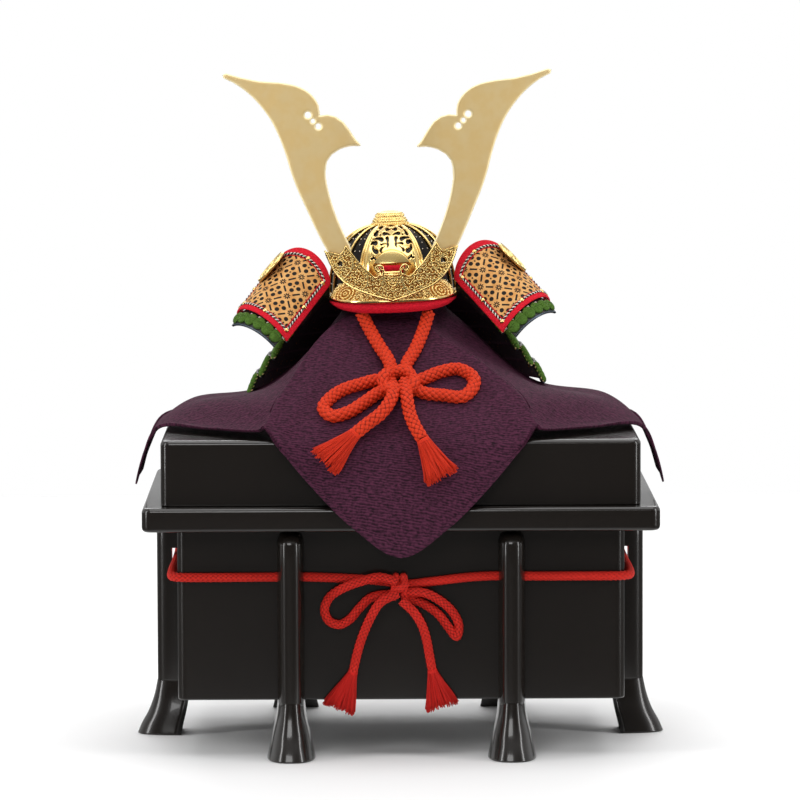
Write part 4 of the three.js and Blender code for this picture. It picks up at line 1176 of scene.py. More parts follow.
CHEST_CORD_RUNS = [
    Run("chest_cord_loop_left", [
        [-3, -127, 121], [-15, -127.6, 124], [-26, -127.6, 121.5], [-40, -125, 116], [-49, -121, 109],
        [-52, -121, 101], [-49, -121, 93.5], [-42, -121, 91], [-35, -121, 94.5], [-28, -121, 102.5],
        [-20, -121, 109.5], [-3, -122.5, 112]]),
    Run("chest_cord_loop_right", [
        [0, -124, 113], [15, -125.5, 113], [26, -123, 107.5], [35, -121, 99], [39, -121, 90],
        [37.5, -121, 82.5], [32, -121.5, 89], [25, -121, 98], [15, -121, 105], [1, -122, 111]]),
    Run(
        "chest_cord_end_left",
        [
            [-2, -128, 113], [-14, -129.2, 107], [-20, -128, 98], [-26, -123, 84], [-30, -121, 71],
            [-33, -121, 58],
        ],
    ),
    Run(
        "chest_cord_end_right",
        [
            [0, -127, 108], [8.6, -128.4, 100], [14, -127.6, 91], [17, -124, 81], [19, -121, 70],
            [21, -121, 59],
        ],
    ),
]
CHEST_TASSELS = [
    Tassel(
        "chest_cord_end_left", "chest_tassel_left",
        (-33, -121, 58), (-43, -121.6, 33), (0, -1, 0), 3.0, (9, 3.6),
    ),
    Tassel(
        "chest_cord_end_right", "chest_tassel_right",
        (21, -121, 59), (28, -121.6, 34), (0, -1, 0), 3.0, (9, 3.6),
    ),
]


def band_run(chest: "Chest", diameter: float) -> Run:
    """The cord's way from the knot round the case and back, through the slots of the legs."""
    away = diameter / 2 + 0.6
    x, y = chest.case_width / 2 + away, chest.case_depth / 2 + away
    height, bend = chest.slot_middle + 1.5, chest.corner + away

    def arc(cx: float, cy: float, start: float) -> list:
        """Four points of a quarter turn, clockwise from above."""
        return [
            [
                cx + bend * math.cos(start - t * math.pi / 2), cy + bend * math.sin(start - t * math.pi / 2),
                height,
            ]
            for t in (0, 1 / 3, 2 / 3, 1)
        ]

    return Run("chest_cord_band", [
        [-5, -y, 119.5], [-22, -y, 121.5], [-62, -y, height], [-chest.leg_spread - 20, -y, height],
        *arc(-x + bend, -y + bend, 1.5 * math.pi), [-x, -20, height], [-x, 20, height],
        *arc(-x + bend, y - bend, math.pi), [-chest.leg_spread, y, height], [0, y, height],
        [chest.leg_spread, y, height],
        *arc(x - bend, y - bend, math.pi / 2), [x, 20, height], [x, -20, height],
        *arc(x - bend, -y + bend, 0), [chest.leg_spread + 20, -y, height], [54, -y, height], [20, -y, 120],
        [3, -y, 118],
    ])


# chest


def rounded_ring(width: float, depth: float, corner: float, steps: int = 8) -> np.ndarray:
    """A rectangle with round corners, as points in X and Y that run anticlockwise."""
    a = np.linspace(0, math.pi / 2, steps + 1)
    parts = []
    for k, (sx, sy) in enumerate(((1, 1), (-1, 1), (-1, -1), (1, -1))):
        turn = a + k * math.pi / 2
        x = sx * (width / 2 - corner) + corner * np.cos(turn)
        y = sy * (depth / 2 - corner) + corner * np.sin(turn)
        parts.append(np.stack([x, y], 1))
    return np.concatenate(parts)


@dataclass
class Chest:
    """A lacquered case with an overhanging rim, a lift-off lid and six splayed legs."""

    case_width: float = 304
    case_depth: float = 234
    case_bottom: float = 39
    case_top: float = 156
    rim_top: float = 172.5
    lid_top: float = 217
    rim_overhang: float = 23
    lid_inset: float = 12.5
    wall: float = 6
    corner: float = 7
    inner_corner: float = 4
    leg_spread: float = 75
    slot_middle: float = 122
    slot_height: float = 18
    slot_depth: float = 7.5

    def build(self) -> None:
        """Build the case, rim, lid and legs."""
        self.build_case()
        self.build_rim()
        self.build_lid()
        for name, x, y, quarters in (
            ("side_right", self.case_width / 2, 0, 0),
            ("back_right", self.leg_spread, self.case_depth / 2, 1),
            ("back_left", -self.leg_spread, self.case_depth / 2, 1),
            ("side_left", -self.case_width / 2, 0, 2),
            ("front_left", -self.leg_spread, -self.case_depth / 2, 3),
            ("front_right", self.leg_spread, -self.case_depth / 2, 3),
        ):
            self.build_leg(name, x, y, quarters)

    def swept(
        self, width: float, depth: float, profile: Sequence[tuple[float, float]], loop: bool = False
    ) -> Form:
        """A profile of inset and height carried round a rounded rectangle.

        Args:
            width: the outline's width.
            depth: the outline's depth.
            profile: rows of inset from the outline and height.
            loop: the profile's end joins its start. Otherwise both ends are closed flat.

        Returns:
            A closed form.
        """
        rows = []
        for inset, z in profile:
            corner = max(self.corner - inset, self.inner_corner if inset >= self.wall else 2.5)
            ring = rounded_ring(width - 2 * inset, depth - 2 * inset, corner)
            rows.append(np.concatenate([ring, np.full((len(ring), 1), z)], 1))
        return grid(np.stack(rows), ring=True, loop=loop, caps=not loop)

    def edge(
        self, inset: float, z: float, radius: float, start: float, end: float, steps: int = 5
    ) -> list[tuple[float, float]]:
        """A round edge in a profile: inset plus radius times cosine, height plus radius times sine."""
        a = np.linspace(start, end, steps)
        return [(inset + radius * math.cos(t), z + radius * math.sin(t)) for t in a]

    def build_case(self) -> None:
        """An open box with small round edges."""
        b, t, w, r = self.case_bottom, self.case_top, self.wall, 1.2
        profile = [
            (30, b), (3, b),
            *self.edge(r, b + r, r, 1.5 * math.pi, math.pi),
            *self.edge(r, t - r, r, math.pi, math.pi / 2),
            (w, t), (w, b + w), (30, b + w),
        ]
        form = self.swept(self.case_width, self.case_depth, profile)
        make_piece("case_lacquer", form, CHEST_BLACK, ["chest_case"], bevelled=True)

    def build_rim(self) -> None:
        """A flat frame with round outer edges."""
        b, t, r, w = self.case_top, self.rim_top, 3.2, self.rim_overhang + self.wall
        profile = [
            (w, b), (r, b), *self.edge(r, b + r, r, 1.5 * math.pi, math.pi),
            *self.edge(r, t - r, r, math.pi, math.pi / 2), (r + 1, t), (w, t),
        ]
        over = 2 * self.rim_overhang
        form = self.swept(self.case_width + over, self.case_depth + over, profile, loop=True)
        make_piece("rim_lacquer", form, CHEST_BLACK, ["chest_rim"], bevelled=True)

    def build_lid(self) -> None:
        """A hollow lid with a round upper edge."""
        width = self.case_width + 2 * self.rim_overhang - 2 * self.lid_inset
        depth = self.case_depth + 2 * self.rim_overhang - 2 * self.lid_inset
        b, t, w, r = self.rim_top, self.lid_top, self.wall, 3.2
        profile = [
            (30, t - w), (w, t - w), (w, b), (0.6, b), (0, b + 0.6),
            *self.edge(r, t - r, r, math.pi, math.pi / 2, 7), (r + 1.5, t), (30, t),
        ]
        make_piece(
            "lid_lacquer", self.swept(width, depth, profile), CHEST_BLACK, ["chest_lid"], bevelled=True
        )

    def build_leg(self, name: str, x: float, y: float, quarters: int) -> None:
        """A leg whose half-round section follows a table of heights, with a slot cut behind it.

        Args:
            name: the leg's place.
            x: where it stands across.
            y: where it stands in depth.
            quarters: quarter turns from facing +X.
        """
        rows = np.array([  # height, half width, reach from the wall, back face from the wall
            [0, 16.65, 32.5, 1.5],
            [7, 15.05, 29.5, 0.2],
            [16, 13.2, 24.5, -2],
            [27, 10.6, 20.5, -4],
            [38.4, 9.2, 18, -6],
        ])
        low = curve_through(rows, np.linspace(0, 1, 22))
        low = np.concatenate([[[0, 15.6, 31.4, 2.5], [0.5, 16.45, 32.3, 1.6]], low[1:]])
        half, reach = 9.2, 18.0
        z0, z1 = self.slot_middle - self.slot_height / 2, self.slot_middle + self.slot_height / 2
        high = np.array([
            [38.7, half, reach, 0.3], [z0 - 0.01, half, reach, 0.3], [z0, half, reach, self.slot_depth],
            [z1, half, reach, self.slot_depth], [z1 + 0.01, half, reach, 0.3], [146, half, reach, 0.3],
            [149, half - 0.4, reach - 1.1, 0.3], [151.5, half - 1.3, reach - 3.4, 0.3],
            [153.3, half - 2.6, reach - 6.2, 0.3], [154.5, half - 4.2, reach - 9.2, 0.3],
        ])
        table = np.concatenate([low, high])
        a = np.linspace(-math.pi / 2, math.pi / 2, 25)
        back = np.where(table[:, 3] == self.slot_depth, 0.3, table[:, 3])[:, None]
        power = 0.82
        px = back + (table[:, 2:3] - back) * np.cos(a) ** power
        py = table[:, 1:2] * np.sign(np.sin(a)) * np.abs(np.sin(a)) ** power
        slotted = (table[:, 3] == self.slot_depth)[:, None] & (px < self.slot_depth)
        share = np.clip((self.slot_depth - back) / (table[:, 2:3] - back), 0, 1) ** (1 / power)
        py = np.where(slotted, np.sign(py) * table[:, 1:2] * (1 - share**2) ** (power / 2), py)
        px = np.where(slotted, self.slot_depth, px)
        points = np.stack([px, py, np.repeat(table[:, :1], len(a), 1)], -1)
        turn = quarters * math.pi / 2
        spin = [
            [round(math.cos(turn)), -round(math.sin(turn)), 0],
            [round(math.sin(turn)), round(math.cos(turn)), 0],
            [0, 0, 1],
        ]
        form = grid(points, ring=True, caps=True).turned(spin).shifted(x, y, 0)
        make_piece(f"leg_{name}_lacquer", form, CHEST_BLACK, [f"leg_{name}"], bevelled=True)


# stand and cloth


@dataclass
class Stand:
    """The plain turned post under the cloth, and the cloth laid corner to the front over it."""

    lid_top: float = 217
    rim_top: float = 172.5
    lid_width: float = 325
    lid_depth: float = 255
    rim_depth: float = 280
    helmet_height: float = 305
    post_top: float = 351.4
    post_head: float = 17
    post_shift: float = -5.3
    thickness: float = 1.2
    tip: float = 139
    ridge: tuple = (93.0, 125.0, 226.0)
    pleat: float = 4
    side_lift: float = 8
    right_pull: float = 27
    right_lift: float = 3

    def build(self) -> None:
        """Build the post and the cloth."""
        top, low = self.post_top, self.lid_top
        profile = np.array([
            [38, low], [41.5, low + 0.8], [42, low + 2.5], [42, low + 5], [40, low + 6.3], [20, low + 7.5],
            [9.6, low + 8.6], [9, low + 11],
            [9, top - 27], [10.4, top - 24.5], [15, top - 21], [17, top - 18.5], [17, top - 9],
            [15.8, top - 4.5], [12, top - 1], [6, top],
        ])
        form = lathe(profile, 40).shifted(self.post_shift, 0, 0)
        make_piece("post_turning", form, POST_WOOD, ["stand_post"])
        self.build_cloth()

    def round_point(self, angle: float, radius: float, height: float) -> list:
        """A point round the post's axis, counted from the front."""
        return [radius * math.sin(angle), radius * math.cos(angle), height]

    def head(self, angle: float) -> list:
        """The cloth over the post's head and down to the bowl's open bottom."""
        r = self.post_head + self.thickness + 1
        top = self.post_top + self.thickness + 0.3
        rows = (r - 6, top), (r + 1, top - 7), (r + 3, self.post_top - 24), (r + 13, self.helmet_height - 2)
        return [self.round_point(angle, radius, height) for radius, height in rows]

    def fall(self, z: float) -> float:
        """How far out the hanging front corner is at a height."""
        edge, rim = self.lid_depth / 2 + 3, self.rim_depth / 2 + 3
        if z > self.rim_top + 1:
            return edge + (rim - edge) * max((self.lid_top - z) / (self.lid_top - self.rim_top - 1), 0)
        return rim + (self.rim_top + 1 - z) * 0.05

    def front_line(self, share: float, back: bool) -> list:
        """One line of the cloth from head to hem, share 0 at the middle and 1 at the ridge."""
        angle = share * math.pi / 4
        hem_z = self.tip + (self.ridge[2] - self.tip) * share**1.4
        x = self.ridge[0] * share
        shoulder = self.round_point(angle, 50, 284) if back else [48 * share, 46, 286]
        middle = self.round_point(angle, 94, 231) if back else [75 * share, 90, 250]
        hem = [x, self.ridge[1] if hem_z > self.lid_top else self.fall(hem_z), hem_z]
        line = [*self.head(angle), shoulder, middle]
        if hem_z > self.lid_top:
            line += [[m + (h - m) * t for m, h in zip(middle, hem)] for t in (0.55, 0.9, 0.95)]
        else:
            low = (self.lid_top + hem_z) / 2 if hem_z > self.rim_top else self.rim_top + 1
            line += [
                [x * 0.96, self.lid_depth / 2 - 4, self.lid_top + 5.5],
                [x, self.lid_depth / 2 + 3, self.lid_top - 1],
                [x, self.fall(low), low],
            ]
        return [*line, hem]

    def side_line(self, share: float, hem: list, back: bool) -> list:
        """The same from the ridge, share 0, to the middle of the side, share 1."""
        angle = math.pi / 4 + share * math.pi / 4
        on_lid = hem[2] > self.lid_top
        drop = self.pleat * 0.2
        shoulder = self.round_point(angle, 50, 284 - drop) if back else [48, 46 * (1 - share), 286 - drop]
        if back:
            middle = self.round_point(angle, 94, 231 - self.pleat * 0.5 * (1 - share))
        else:
            middle = [75 + 19 * (1 - (1 - share) ** 2), 90 * (1 - share), 248.5 - 5.5 * share**0.7]
        over = [self.lid_width / 2 + 3, hem[1], self.lid_top + 3]
        end = hem if on_lid else over

        def between(a: list, b: list, t: float) -> list:
            """A point part of the way from a to b."""
            return [p + (q - p) * t for p, q in zip(a, b)]

        near = between(middle, end, 0.55 if on_lid else 0.7)
        near[2] += self.side_lift * share * (0.3 if back else 1)
        part = between(over, hem, 0.4)
        ends = (
            [between(middle, hem, 0.9), between(middle, hem, 0.95)] if on_lid
            else [over, [part[0] + 2, part[1], part[2]]]
        )
        return [*self.head(angle), shoulder, middle, near, *ends, hem]

    def lines(self) -> np.ndarray:
        """All lines round the cloth, stations by lines by three."""
        rx, ry, rz = self.ridge
        hems = [
            (0, [rx + 1.5, ry - 1, rz - self.pleat * 0.5]), (0.3, [130, 87, 221.5]), (0.6, [167.5, 45, 219]),
            (0.8, [178, 26, 197]), (1, [184, 0, 175]),
        ]

        def quarter(back: bool) -> np.ndarray:
            """The lines from the middle to the middle of the side."""
            rows = [self.front_line(s, back) for s in (0, 0.35, 0.65, 0.87, 1)]
            rows += [self.side_line(s, hem, back) for s, hem in hems]
            return np.array(rows)

        front = quarter(False) * [1, -1, 1]
        half = np.concatenate([front, quarter(True)[:-1][::-1]])
        whole = np.concatenate([half, half[1:-1][::-1] * [-1, 1, 1]])
        for k in range(4):
            whole[:, k, 0] += self.post_shift * (1 - k / 8)
        x, y, z = whole[..., 0], whole[..., 1], whole[..., 2]
        pull = self.right_pull * smoothstep(-y, 12, 46) * smoothstep(x, 12, 46)
        pull = pull * np.exp(-(((z - 282) / 23) ** 2))
        whole[..., 0] = x - pull
        whole[..., 2] = z + self.right_lift * smoothstep(x, 60, 92) * np.exp(-(((z - 243) / 12) ** 2))
        return whole.transpose(1, 0, 2)

    def build_cloth(self) -> None:
        """A fine surface through the lines, with pleats, a soft valley and a doubled hem.

        Points lie on Catmull-Rom curves through the lines both ways, then move out along the
        surface by the folds' heights, which never go below the lines.
        """
        lines = self.lines()
        rows, cols = 104, 360
        at = np.linspace(0, 1, rows) ** 0.9
        down = curve_through(lines, at)
        count = down.shape[1]
        closed = np.concatenate([down[:, -3:], down, down[:, :4]], 1).transpose(1, 0, 2)
        where = (3 + np.arange(cols) / cols * count) / (count + 6)
        table = curve_through(closed, where).transpose(1, 0, 2)
        angle = np.arctan2(table[..., 0], -table[..., 1])
        v = np.repeat(at[:, None], cols, 1)
        du = np.roll(table, -1, 1) - np.roll(table, 1, 1)
        dv = np.gradient(table, axis=0)
        normal = np.cross(dv, du)
        normal /= np.linalg.norm(normal, axis=2, keepdims=True) + 1e-9
        outside = np.stack([table[..., 0], table[..., 1], np.full_like(v, 60)], -1)
        out = np.sign((normal * outside).sum(2, keepdims=True))
        folds = self.folds(table, angle, v)
        table = table + normal * out * folds[..., None]
        seam = np.concatenate([table, table[:, :1]], 1)
        flat = np.stack([seam[..., 0], -seam[..., 1] - 0.9 * seam[..., 2]], -1)
        form = grid(table, ring=True, uv=flat)
        crown = len(form.points)
        form.points = np.concatenate([form.points, table[0].mean(0, keepdims=True) + [[0, 0, 0.3]]])
        form.faces += [[i, crown, (i + 1) % cols] for i in range(cols)]
        form.uv = np.concatenate([form.uv, np.zeros((3 * cols, 2))])
        piece = make_piece("cloth_drape", form, PLUM_CREPE, ["cloth"], thickness=self.thickness, offset=1.0)
        area = self.area(form)

    def folds(self, table: np.ndarray, angle: np.ndarray, v: np.ndarray) -> np.ndarray:
        """Heights of the folds in millimetres: a sum of long soft ridges and a raised hem band."""
        x = table[..., 0]
        front = smoothstep(-table[..., 1], 20, 60)
        lower = smoothstep(v, 0.45, 0.62)
        ridge = np.exp(-(((np.abs(x) - 0.62 * np.abs(table[..., 1]) - 4) / 7) ** 2)) * front
        ridge = ridge * smoothstep(v, 0.4, 0.55) * (1 - smoothstep(v, 0.85, 1.0))
        valley = (1 - np.exp(-(((x + 4) / 11) ** 2))) * front * smoothstep(v, 0.38, 0.5)
        valley = valley * (1 - smoothstep(v, 0.6, 0.75))
        ripple = 0.5 + 0.5 * np.sin(angle * 9 + 1.7 * np.sin(angle * 4 + 1))
        hem = smoothstep(v, 0.962, 0.97) * 0.9 - 0.5 * np.exp(-(((v - 0.958) / 0.005) ** 2))
        soft = ripple * lower * (1 - smoothstep(v, 0.9, 1.0)) * (1 - front * 0.7)
        return 2.2 * ridge + 3.2 * valley + soft + hem

    def area(self, form: Form) -> float:
        """The area of one side of a form in square metres."""
        quads = np.array([f for f in form.faces if len(f) == 4])
        p = form.points[quads] * MM
        return float(np.linalg.norm(np.cross(p[:, 2] - p[:, 0], p[:, 3] - p[:, 1]), axis=1).sum() / 2)


# helmet


HELMET_AT = (-4.2, 0, 305)
HELMET_LEAN = math.radians(-2.1)
TWIST_STEP = 0.5
TWIST_LENGTH = 2.9
TWIST_RADIUS = 0.46


def leaned(form: Form) -> Form:
    """A form in the helmet's own frame moved to where the helmet sits, leaning to the left."""
    lean = HELMET_LEAN
    turn = [[math.cos(lean), 0, math.sin(lean)], [0, 1, 0], [-math.sin(lean), 0, math.cos(lean)]]
    return form.turned(turn).shifted(*HELMET_AT)


def twisted(path: np.ndarray, thread: int, radius: float) -> Form:
    """One of two threads that wind round a path.

    Args:
        path: the path, with a point at every TWIST_STEP.
        thread: 0 or 1.
        radius: the thread's own radius.

    Returns:
        The thread.
    """
    side, up = frames_along(path)
    wave = TAU * (np.arange(len(path)) * TWIST_STEP) / TWIST_LENGTH + math.pi * thread
    away = np.cos(wave)[:, None] * side + np.sin(wave)[:, None] * up
    return tube(path + TWIST_RADIUS * away, radius, 6)


def flipped(form: Form) -> Form:
    """The same form with its faces turned the other way."""
    ends = np.cumsum([len(face) for face in form.faces])
    order = np.concatenate(
        [np.arange(end - 1, end - len(face) - 1, -1) for end, face in zip(ends, form.faces)]
    )
    return Form(form.points, [face[::-1] for face in form.faces], form.uv[order])


def mirrored(form: Form) -> Form:
    """The form's mirror image to the left, with its faces still turned out."""
    return flipped(Form(form.points * [-1, 1, 1], form.faces, form.uv))


def curls(x: np.ndarray, z: np.ndarray, pitch: float, seed: int, turns: float = 1.5) -> np.ndarray:
    """A field of small scrolls, from 0 in the hollows to 1 on the ridges.

    Every place belongs to the nearest of many jittered centres, and its height is a cosine of
    the distance to that centre minus a share of the angle round it, which draws a spiral.

    Args:
        x: places across.
        z: places up.
        pitch: the distance between scrolls.
        seed: which jitter.
        turns: how tightly each scroll winds.

    Returns:
        The height at each place.
    """
    rng = np.random.default_rng(seed)
    gx, gz = np.meshgrid(np.arange(-60, 60, pitch), np.arange(-20, 80, pitch * 0.87))
    gx = gx + (np.arange(gx.shape[0])[:, None] % 2) * pitch / 2
    centres = np.stack([gx.ravel(), gz.ravel()], 1) + rng.uniform(-0.22, 0.22, (gx.size, 2)) * pitch
    hand = rng.choice([-1.0, 1.0], gx.size)
    beside = np.abs(centres[:, 0] - x.mean()) < np.ptp(x)
    keep = beside & (centres[:, 1] > z.min() - pitch) & (centres[:, 1] < z.max() + pitch)
    centres, hand = centres[keep], hand[keep]
    best, angle, side = np.full(x.shape, 1e9), np.zeros(x.shape), np.ones(x.shape)
    for (cx, cz), h in zip(centres, hand):
        r = np.hypot(x - cx, z - cz)
        near = r < best
        best = np.where(near, r, best)
        angle = np.where(near, np.arctan2(z - cz, x - cx), angle)
        side = np.where(near, h, side)
    wave = np.cos(TAU * (best / pitch * turns * 1.7) - side * angle)
    return smoothstep(wave, -0.55, 0.25)


def line_distance(x: np.ndarray, z: np.ndarray, line: Sequence) -> np.ndarray:
    """The distance to an open line of points."""
    best = np.full(x.shape, 1e9)
    for (ax, az), (bx, bz) in zip(line[:-1], line[1:]):
        ex, ez = bx - ax, bz - az
        t = np.clip(((x - ax) * ex + (z - az) * ez) / (ex**2 + ez**2), 0, 1)
        best = np.minimum(best, np.hypot(x - ax - t * ex, z - az - t * ez))
    return best


def smooth_line(points: Sequence, steps: int) -> np.ndarray:
    """A flat curve through points, sampled evenly from point to point."""
    flat = np.array([[p[0], 0.0, p[1]] for p in points], float)
    return curve_through(flat, np.linspace(0, 1, steps + 1))[:, [0, 2]]


@dataclass
class Bowl:
    """The bowl with its ribs, pierced front plate and finial, in the helmet's own frame."""

    half_width: float = 43
    half_depth: float = 47
    height: float = 51.5
    wall: float = 1.6
    fullness: float = 2.5
    rib_count: int = 17
    plate_half_turn: float = 27
    plate_thickness: float = 0.9
    clearance: float = 0.3

    def point(self, turn: np.ndarray, rise: np.ndarray, lift: np.ndarray) -> np.ndarray:
        """A superellipsoid: sine and cosine of the rise, each to the power 2 over its fullness.

        Args:
            turn: the angle from the front.
            rise: 0 at the rim, 1 at the top.
            lift: millimetres out along the surface's normal.

        Returns:
            The points.
        """
        angle = math.pi / 2 * (1 - rise)
        power = 2 / self.fullness
        across, up = np.sin(angle) ** power, np.maximum(np.cos(angle), 0) ** power
        sx, sz = across ** (self.fullness - 1) / self.half_width, up ** (self.fullness - 1) / self.height
        size = np.hypot(sx, sz)
        out = lift * sx / size
        return np.stack(np.broadcast_arrays(
            (self.half_width * across + out) * np.sin(turn), -(self.half_depth * across + out) * np.cos(turn),
            self.height * up + lift * sz / size), -1)

    def build(self) -> None:
        """Build the bowl, ribs, plate and finial."""
        self.build_shell()
        self.build_ribs()
        self.build_plate()
        self.build_finial()

    def rib_turns(self) -> np.ndarray:
        """Where the ribs run, as angles from the front."""
        start = math.radians(self.plate_half_turn + 4.5)
        return start + (TAU - 2 * start) * np.arange(self.rib_count) / (self.rib_count - 1)

    def build_shell(self) -> None:
        """Black plates that crown slightly between the ribs, with rows of small studs."""
        cols, rows = 204, 60
        turn, rise = np.arange(cols) / cols * TAU, np.linspace(0, 0.97, rows)
        turns = self.rib_turns()
        gap = turns[1] - turns[0]
        phase = ((turn - turns[0]) / gap) % 1
        crown = 0.25 * np.sin(math.pi * phase) ** 0.7 - 0.2
        table = self.point(turn[None, :], rise[:, None], crown[None, :] * np.ones((rows, 1)))
        form = grid(table, ring=True)
        form.faces.append(list(range((rows - 1) * cols, rows * cols)))
        form.uv = np.concatenate([form.uv, np.zeros((cols, 2))])
        make_piece("bowl_shell", leaned(form), BOWL_BLACK, ["helmet_bowl"], thickness=self.wall)
        studs = []
        for k in range(self.rib_count - 1):
            for row, level in enumerate(np.linspace(0.1, 0.74, 9)):
                for share in ((0.32, 0.68) if row % 2 == 0 and level < 0.6 else (0.5,)):
                    at = turns[0] + (k + share) * gap
                    place = self.point(at, level, 0.1)
                    ahead = self.point(at, level, 1.1) - place
                    studs.append(dome(0.6, 0.7, 6, 2).turned(facing(ahead)).shifted(*place))
        # The studs' pale metal is a painted highlight.
        make_piece("bowl_studs", leaned(joined(studs)), PAINTED_HIGHLIGHT_STUDS)

    def build_ribs(self) -> None:
        """Round gold ribs from the rim band to the finial, doubled beside the front plate."""
        rise = np.linspace(0.0, 0.86, 40)
        forms = []
        start = math.radians(self.plate_half_turn + 1.6)
        for at in [*self.rib_turns(), start, TAU - start]:
            path = self.point(np.full(40, at), rise, np.full(40, 0.75))
            forms.append(tube(path, 0.95 + 0.12 * (1 - rise), 8))
        turn = np.linspace(0, TAU, 120, endpoint=False)
        lifts = np.array([0.1, 1.5, 1.9, 1.5, 1.2, 1.2, 1.6, 1.2, 0.1])
        band = self.point(turn[None, :], np.linspace(0.0, 0.045, 9)[:, None], lifts[:, None])
        inside = self.point(turn[None, :], np.full((1, 1), 0.02), np.full((1, 1), 0.05))
        forms.append(grid(np.concatenate([band, inside]), ring=True, loop=True))
        make_piece("bowl_gold_ribs", leaned(joined(forms)), BRIGHT_GOLD, ["bowl_ribs"])

    def plate_field(self, x: np.ndarray, z: np.ndarray) -> np.ndarray:
        """How deep a place lies in the openwork's metal, below 0 in a hole.

        Each hole is a comma: circles that shrink along an arc. A place's value is the least
        distance outside any circle.
        """
        value = np.full(x.shape, 9.0)
        share = np.linspace(0, 1, 9)
        for cx, cz, size, length, lean, bend in PLATE_COMMAS:
            turn = np.radians(lean + bend * share)
            px = cx + length * np.concatenate([[0], np.cumsum(np.cos(turn[:-1]) / 8)])
            pz = cz + length * np.concatenate([[0], np.cumsum(np.sin(turn[:-1]) / 8)])
            for side in (-1, 1):
                for k in range(9):
                    away = np.hypot(x - 0.6 - side * px[k], z - pz[k])
                    value = np.minimum(value, away - size * (1 - 0.8 * share[k]))
        return value

    def build_plate(self) -> None:
        """The gold front plate: leafy openwork above a plain polished bulge."""
        half = math.radians(self.plate_half_turn)

        def at_plate(u: np.ndarray, v: np.ndarray, lift: np.ndarray) -> np.ndarray:
            """A place on the plate: u from side to side, v from the foot to the finial."""
            return self.point(half * (2 * u - 1), (0.5 + 4.2 * v) / 6, lift)

        def surface(u: np.ndarray, v: np.ndarray) -> np.ndarray:
            """The plate without its relief."""
            plain = at_plate(u, v, self.clearance + 1.2)
            level = np.clip((plain[..., 2] - 25.6) / 10.6, 0, 1.2)
            oval = smoothstep(1 - level**1.4 - (plain[..., 0] / 13.6) ** 2, 0, 0.3)
            swell = oval * smoothstep(plain[..., 2], 24.8, 26.2) * 2.3
            return at_plate(u, v, self.clearance + self.plate_thickness + 0.3 + swell)

        u, v = np.linspace(0, 1, 210), np.linspace(0, 1.09, 230)
        uu, vv = np.meshgrid(u, v)
        place = surface(uu, vv)
        holes = self.plate_field(place[..., 0], place[..., 2])

        def chased(a: np.ndarray, b: np.ndarray, f: np.ndarray) -> np.ndarray:
            """The plate's face with rounded edges round the holes and along its sides."""
            p = surface(a, b)
            inward = unit(p * np.array([1.0, 1.0, 0.6]))
            edge = np.minimum(f, 3)
            frame = np.exp(-(((np.minimum(a, 1 - a) - 0.05) / 0.03) ** 2)) * 0.6
            return p + inward * (0.32 * smoothstep(edge, 0, 0.5) + frame)[..., None]

        form = pierced(u, v, holes, chased)
        # Relief is low at the holes' edges: the gold paints shade round each hole.
        near = self.plate_field(form.points[:, 0], form.points[:, 2])
        level = 0.2 + 0.8 * smoothstep(near, 0.0, 0.35)
        form, wall = leaned(form), self.plate_thickness
        make_piece("front_plate_openwork", form, BRIGHT_GOLD, ["bowl_front_plate"], level, thickness=wall)
        steps = 26
        across, along = np.linspace(0.04, 0.96, steps)[None, :], np.linspace(0.02, 1.07, steps)[:, None]
        back = at_plate(across, along, np.full((steps, steps), 0.28))
        make_piece("front_plate_backing", leaned(grid(back)), DARK_IRON, thickness=0.2)

    def build_finial(self) -> None:
        """A crown of tiers: a petalled foot, beads, a ribbed drum and a small domed cap."""
        z = self.height + self.clearance
        profile = np.array([
            [6.0, z - 1.3], [11.9, z - 1.2], [12.9, z - 0.8], [13.1, z - 0.1], [12.9, z + 0.7],
            [12.1, z + 1.2], [12.0, z + 1.5], [12.3, z + 1.9], [12.2, z + 2.6], [11.5, z + 3.0],
            [11.2, z + 3.2], [11.4, z + 3.6], [11.2, z + 4.2], [10.4, z + 4.5], [10.0, z + 4.7],
            [10.2, z + 5.2], [10.3, z + 6.0], [9.9, z + 6.7], [9.1, z + 6.9], [9.2, z + 7.2],
            [8.9, z + 7.7], [7.6, z + 7.9], [6.9, z + 8.0], [5.4, z + 8.5], [3.0, z + 8.9],
            [0.3, z + 9.0],
        ])
        lobes, depth = np.ones(len(profile)), np.zeros(len(profile))
        for low, high, count, deep in (
            (1, 6, 52, 0.55), (7, 10, 56, 0.4), (11, 14, 48, 0.4), (15, 18, 36, 0.5), (19, 22, 34, 0.35)
        ):
            lobes[low:high], depth[low:high] = count, deep
        made = lathe(profile, 520, lambda a, j: depth[j] * (np.abs(np.sin(a * lobes[j] / 2)) ** 0.6 - 1))
        # Relief is low in the grooves between lobes, painted shade there; the plain rows take a fixed low
        # value, which makes them darker too.
        shrink = np.abs(np.sin(np.arange(520)[None, :] / 520 * TAU * lobes[:, None] / 2)) ** 0.6
        level = np.where(depth[:, None] > 0, 0.1 + 0.9 * shrink, 0.25).ravel()
        make_piece("finial_crown", leaned(made), GOLD, ["crown_finial"], level)


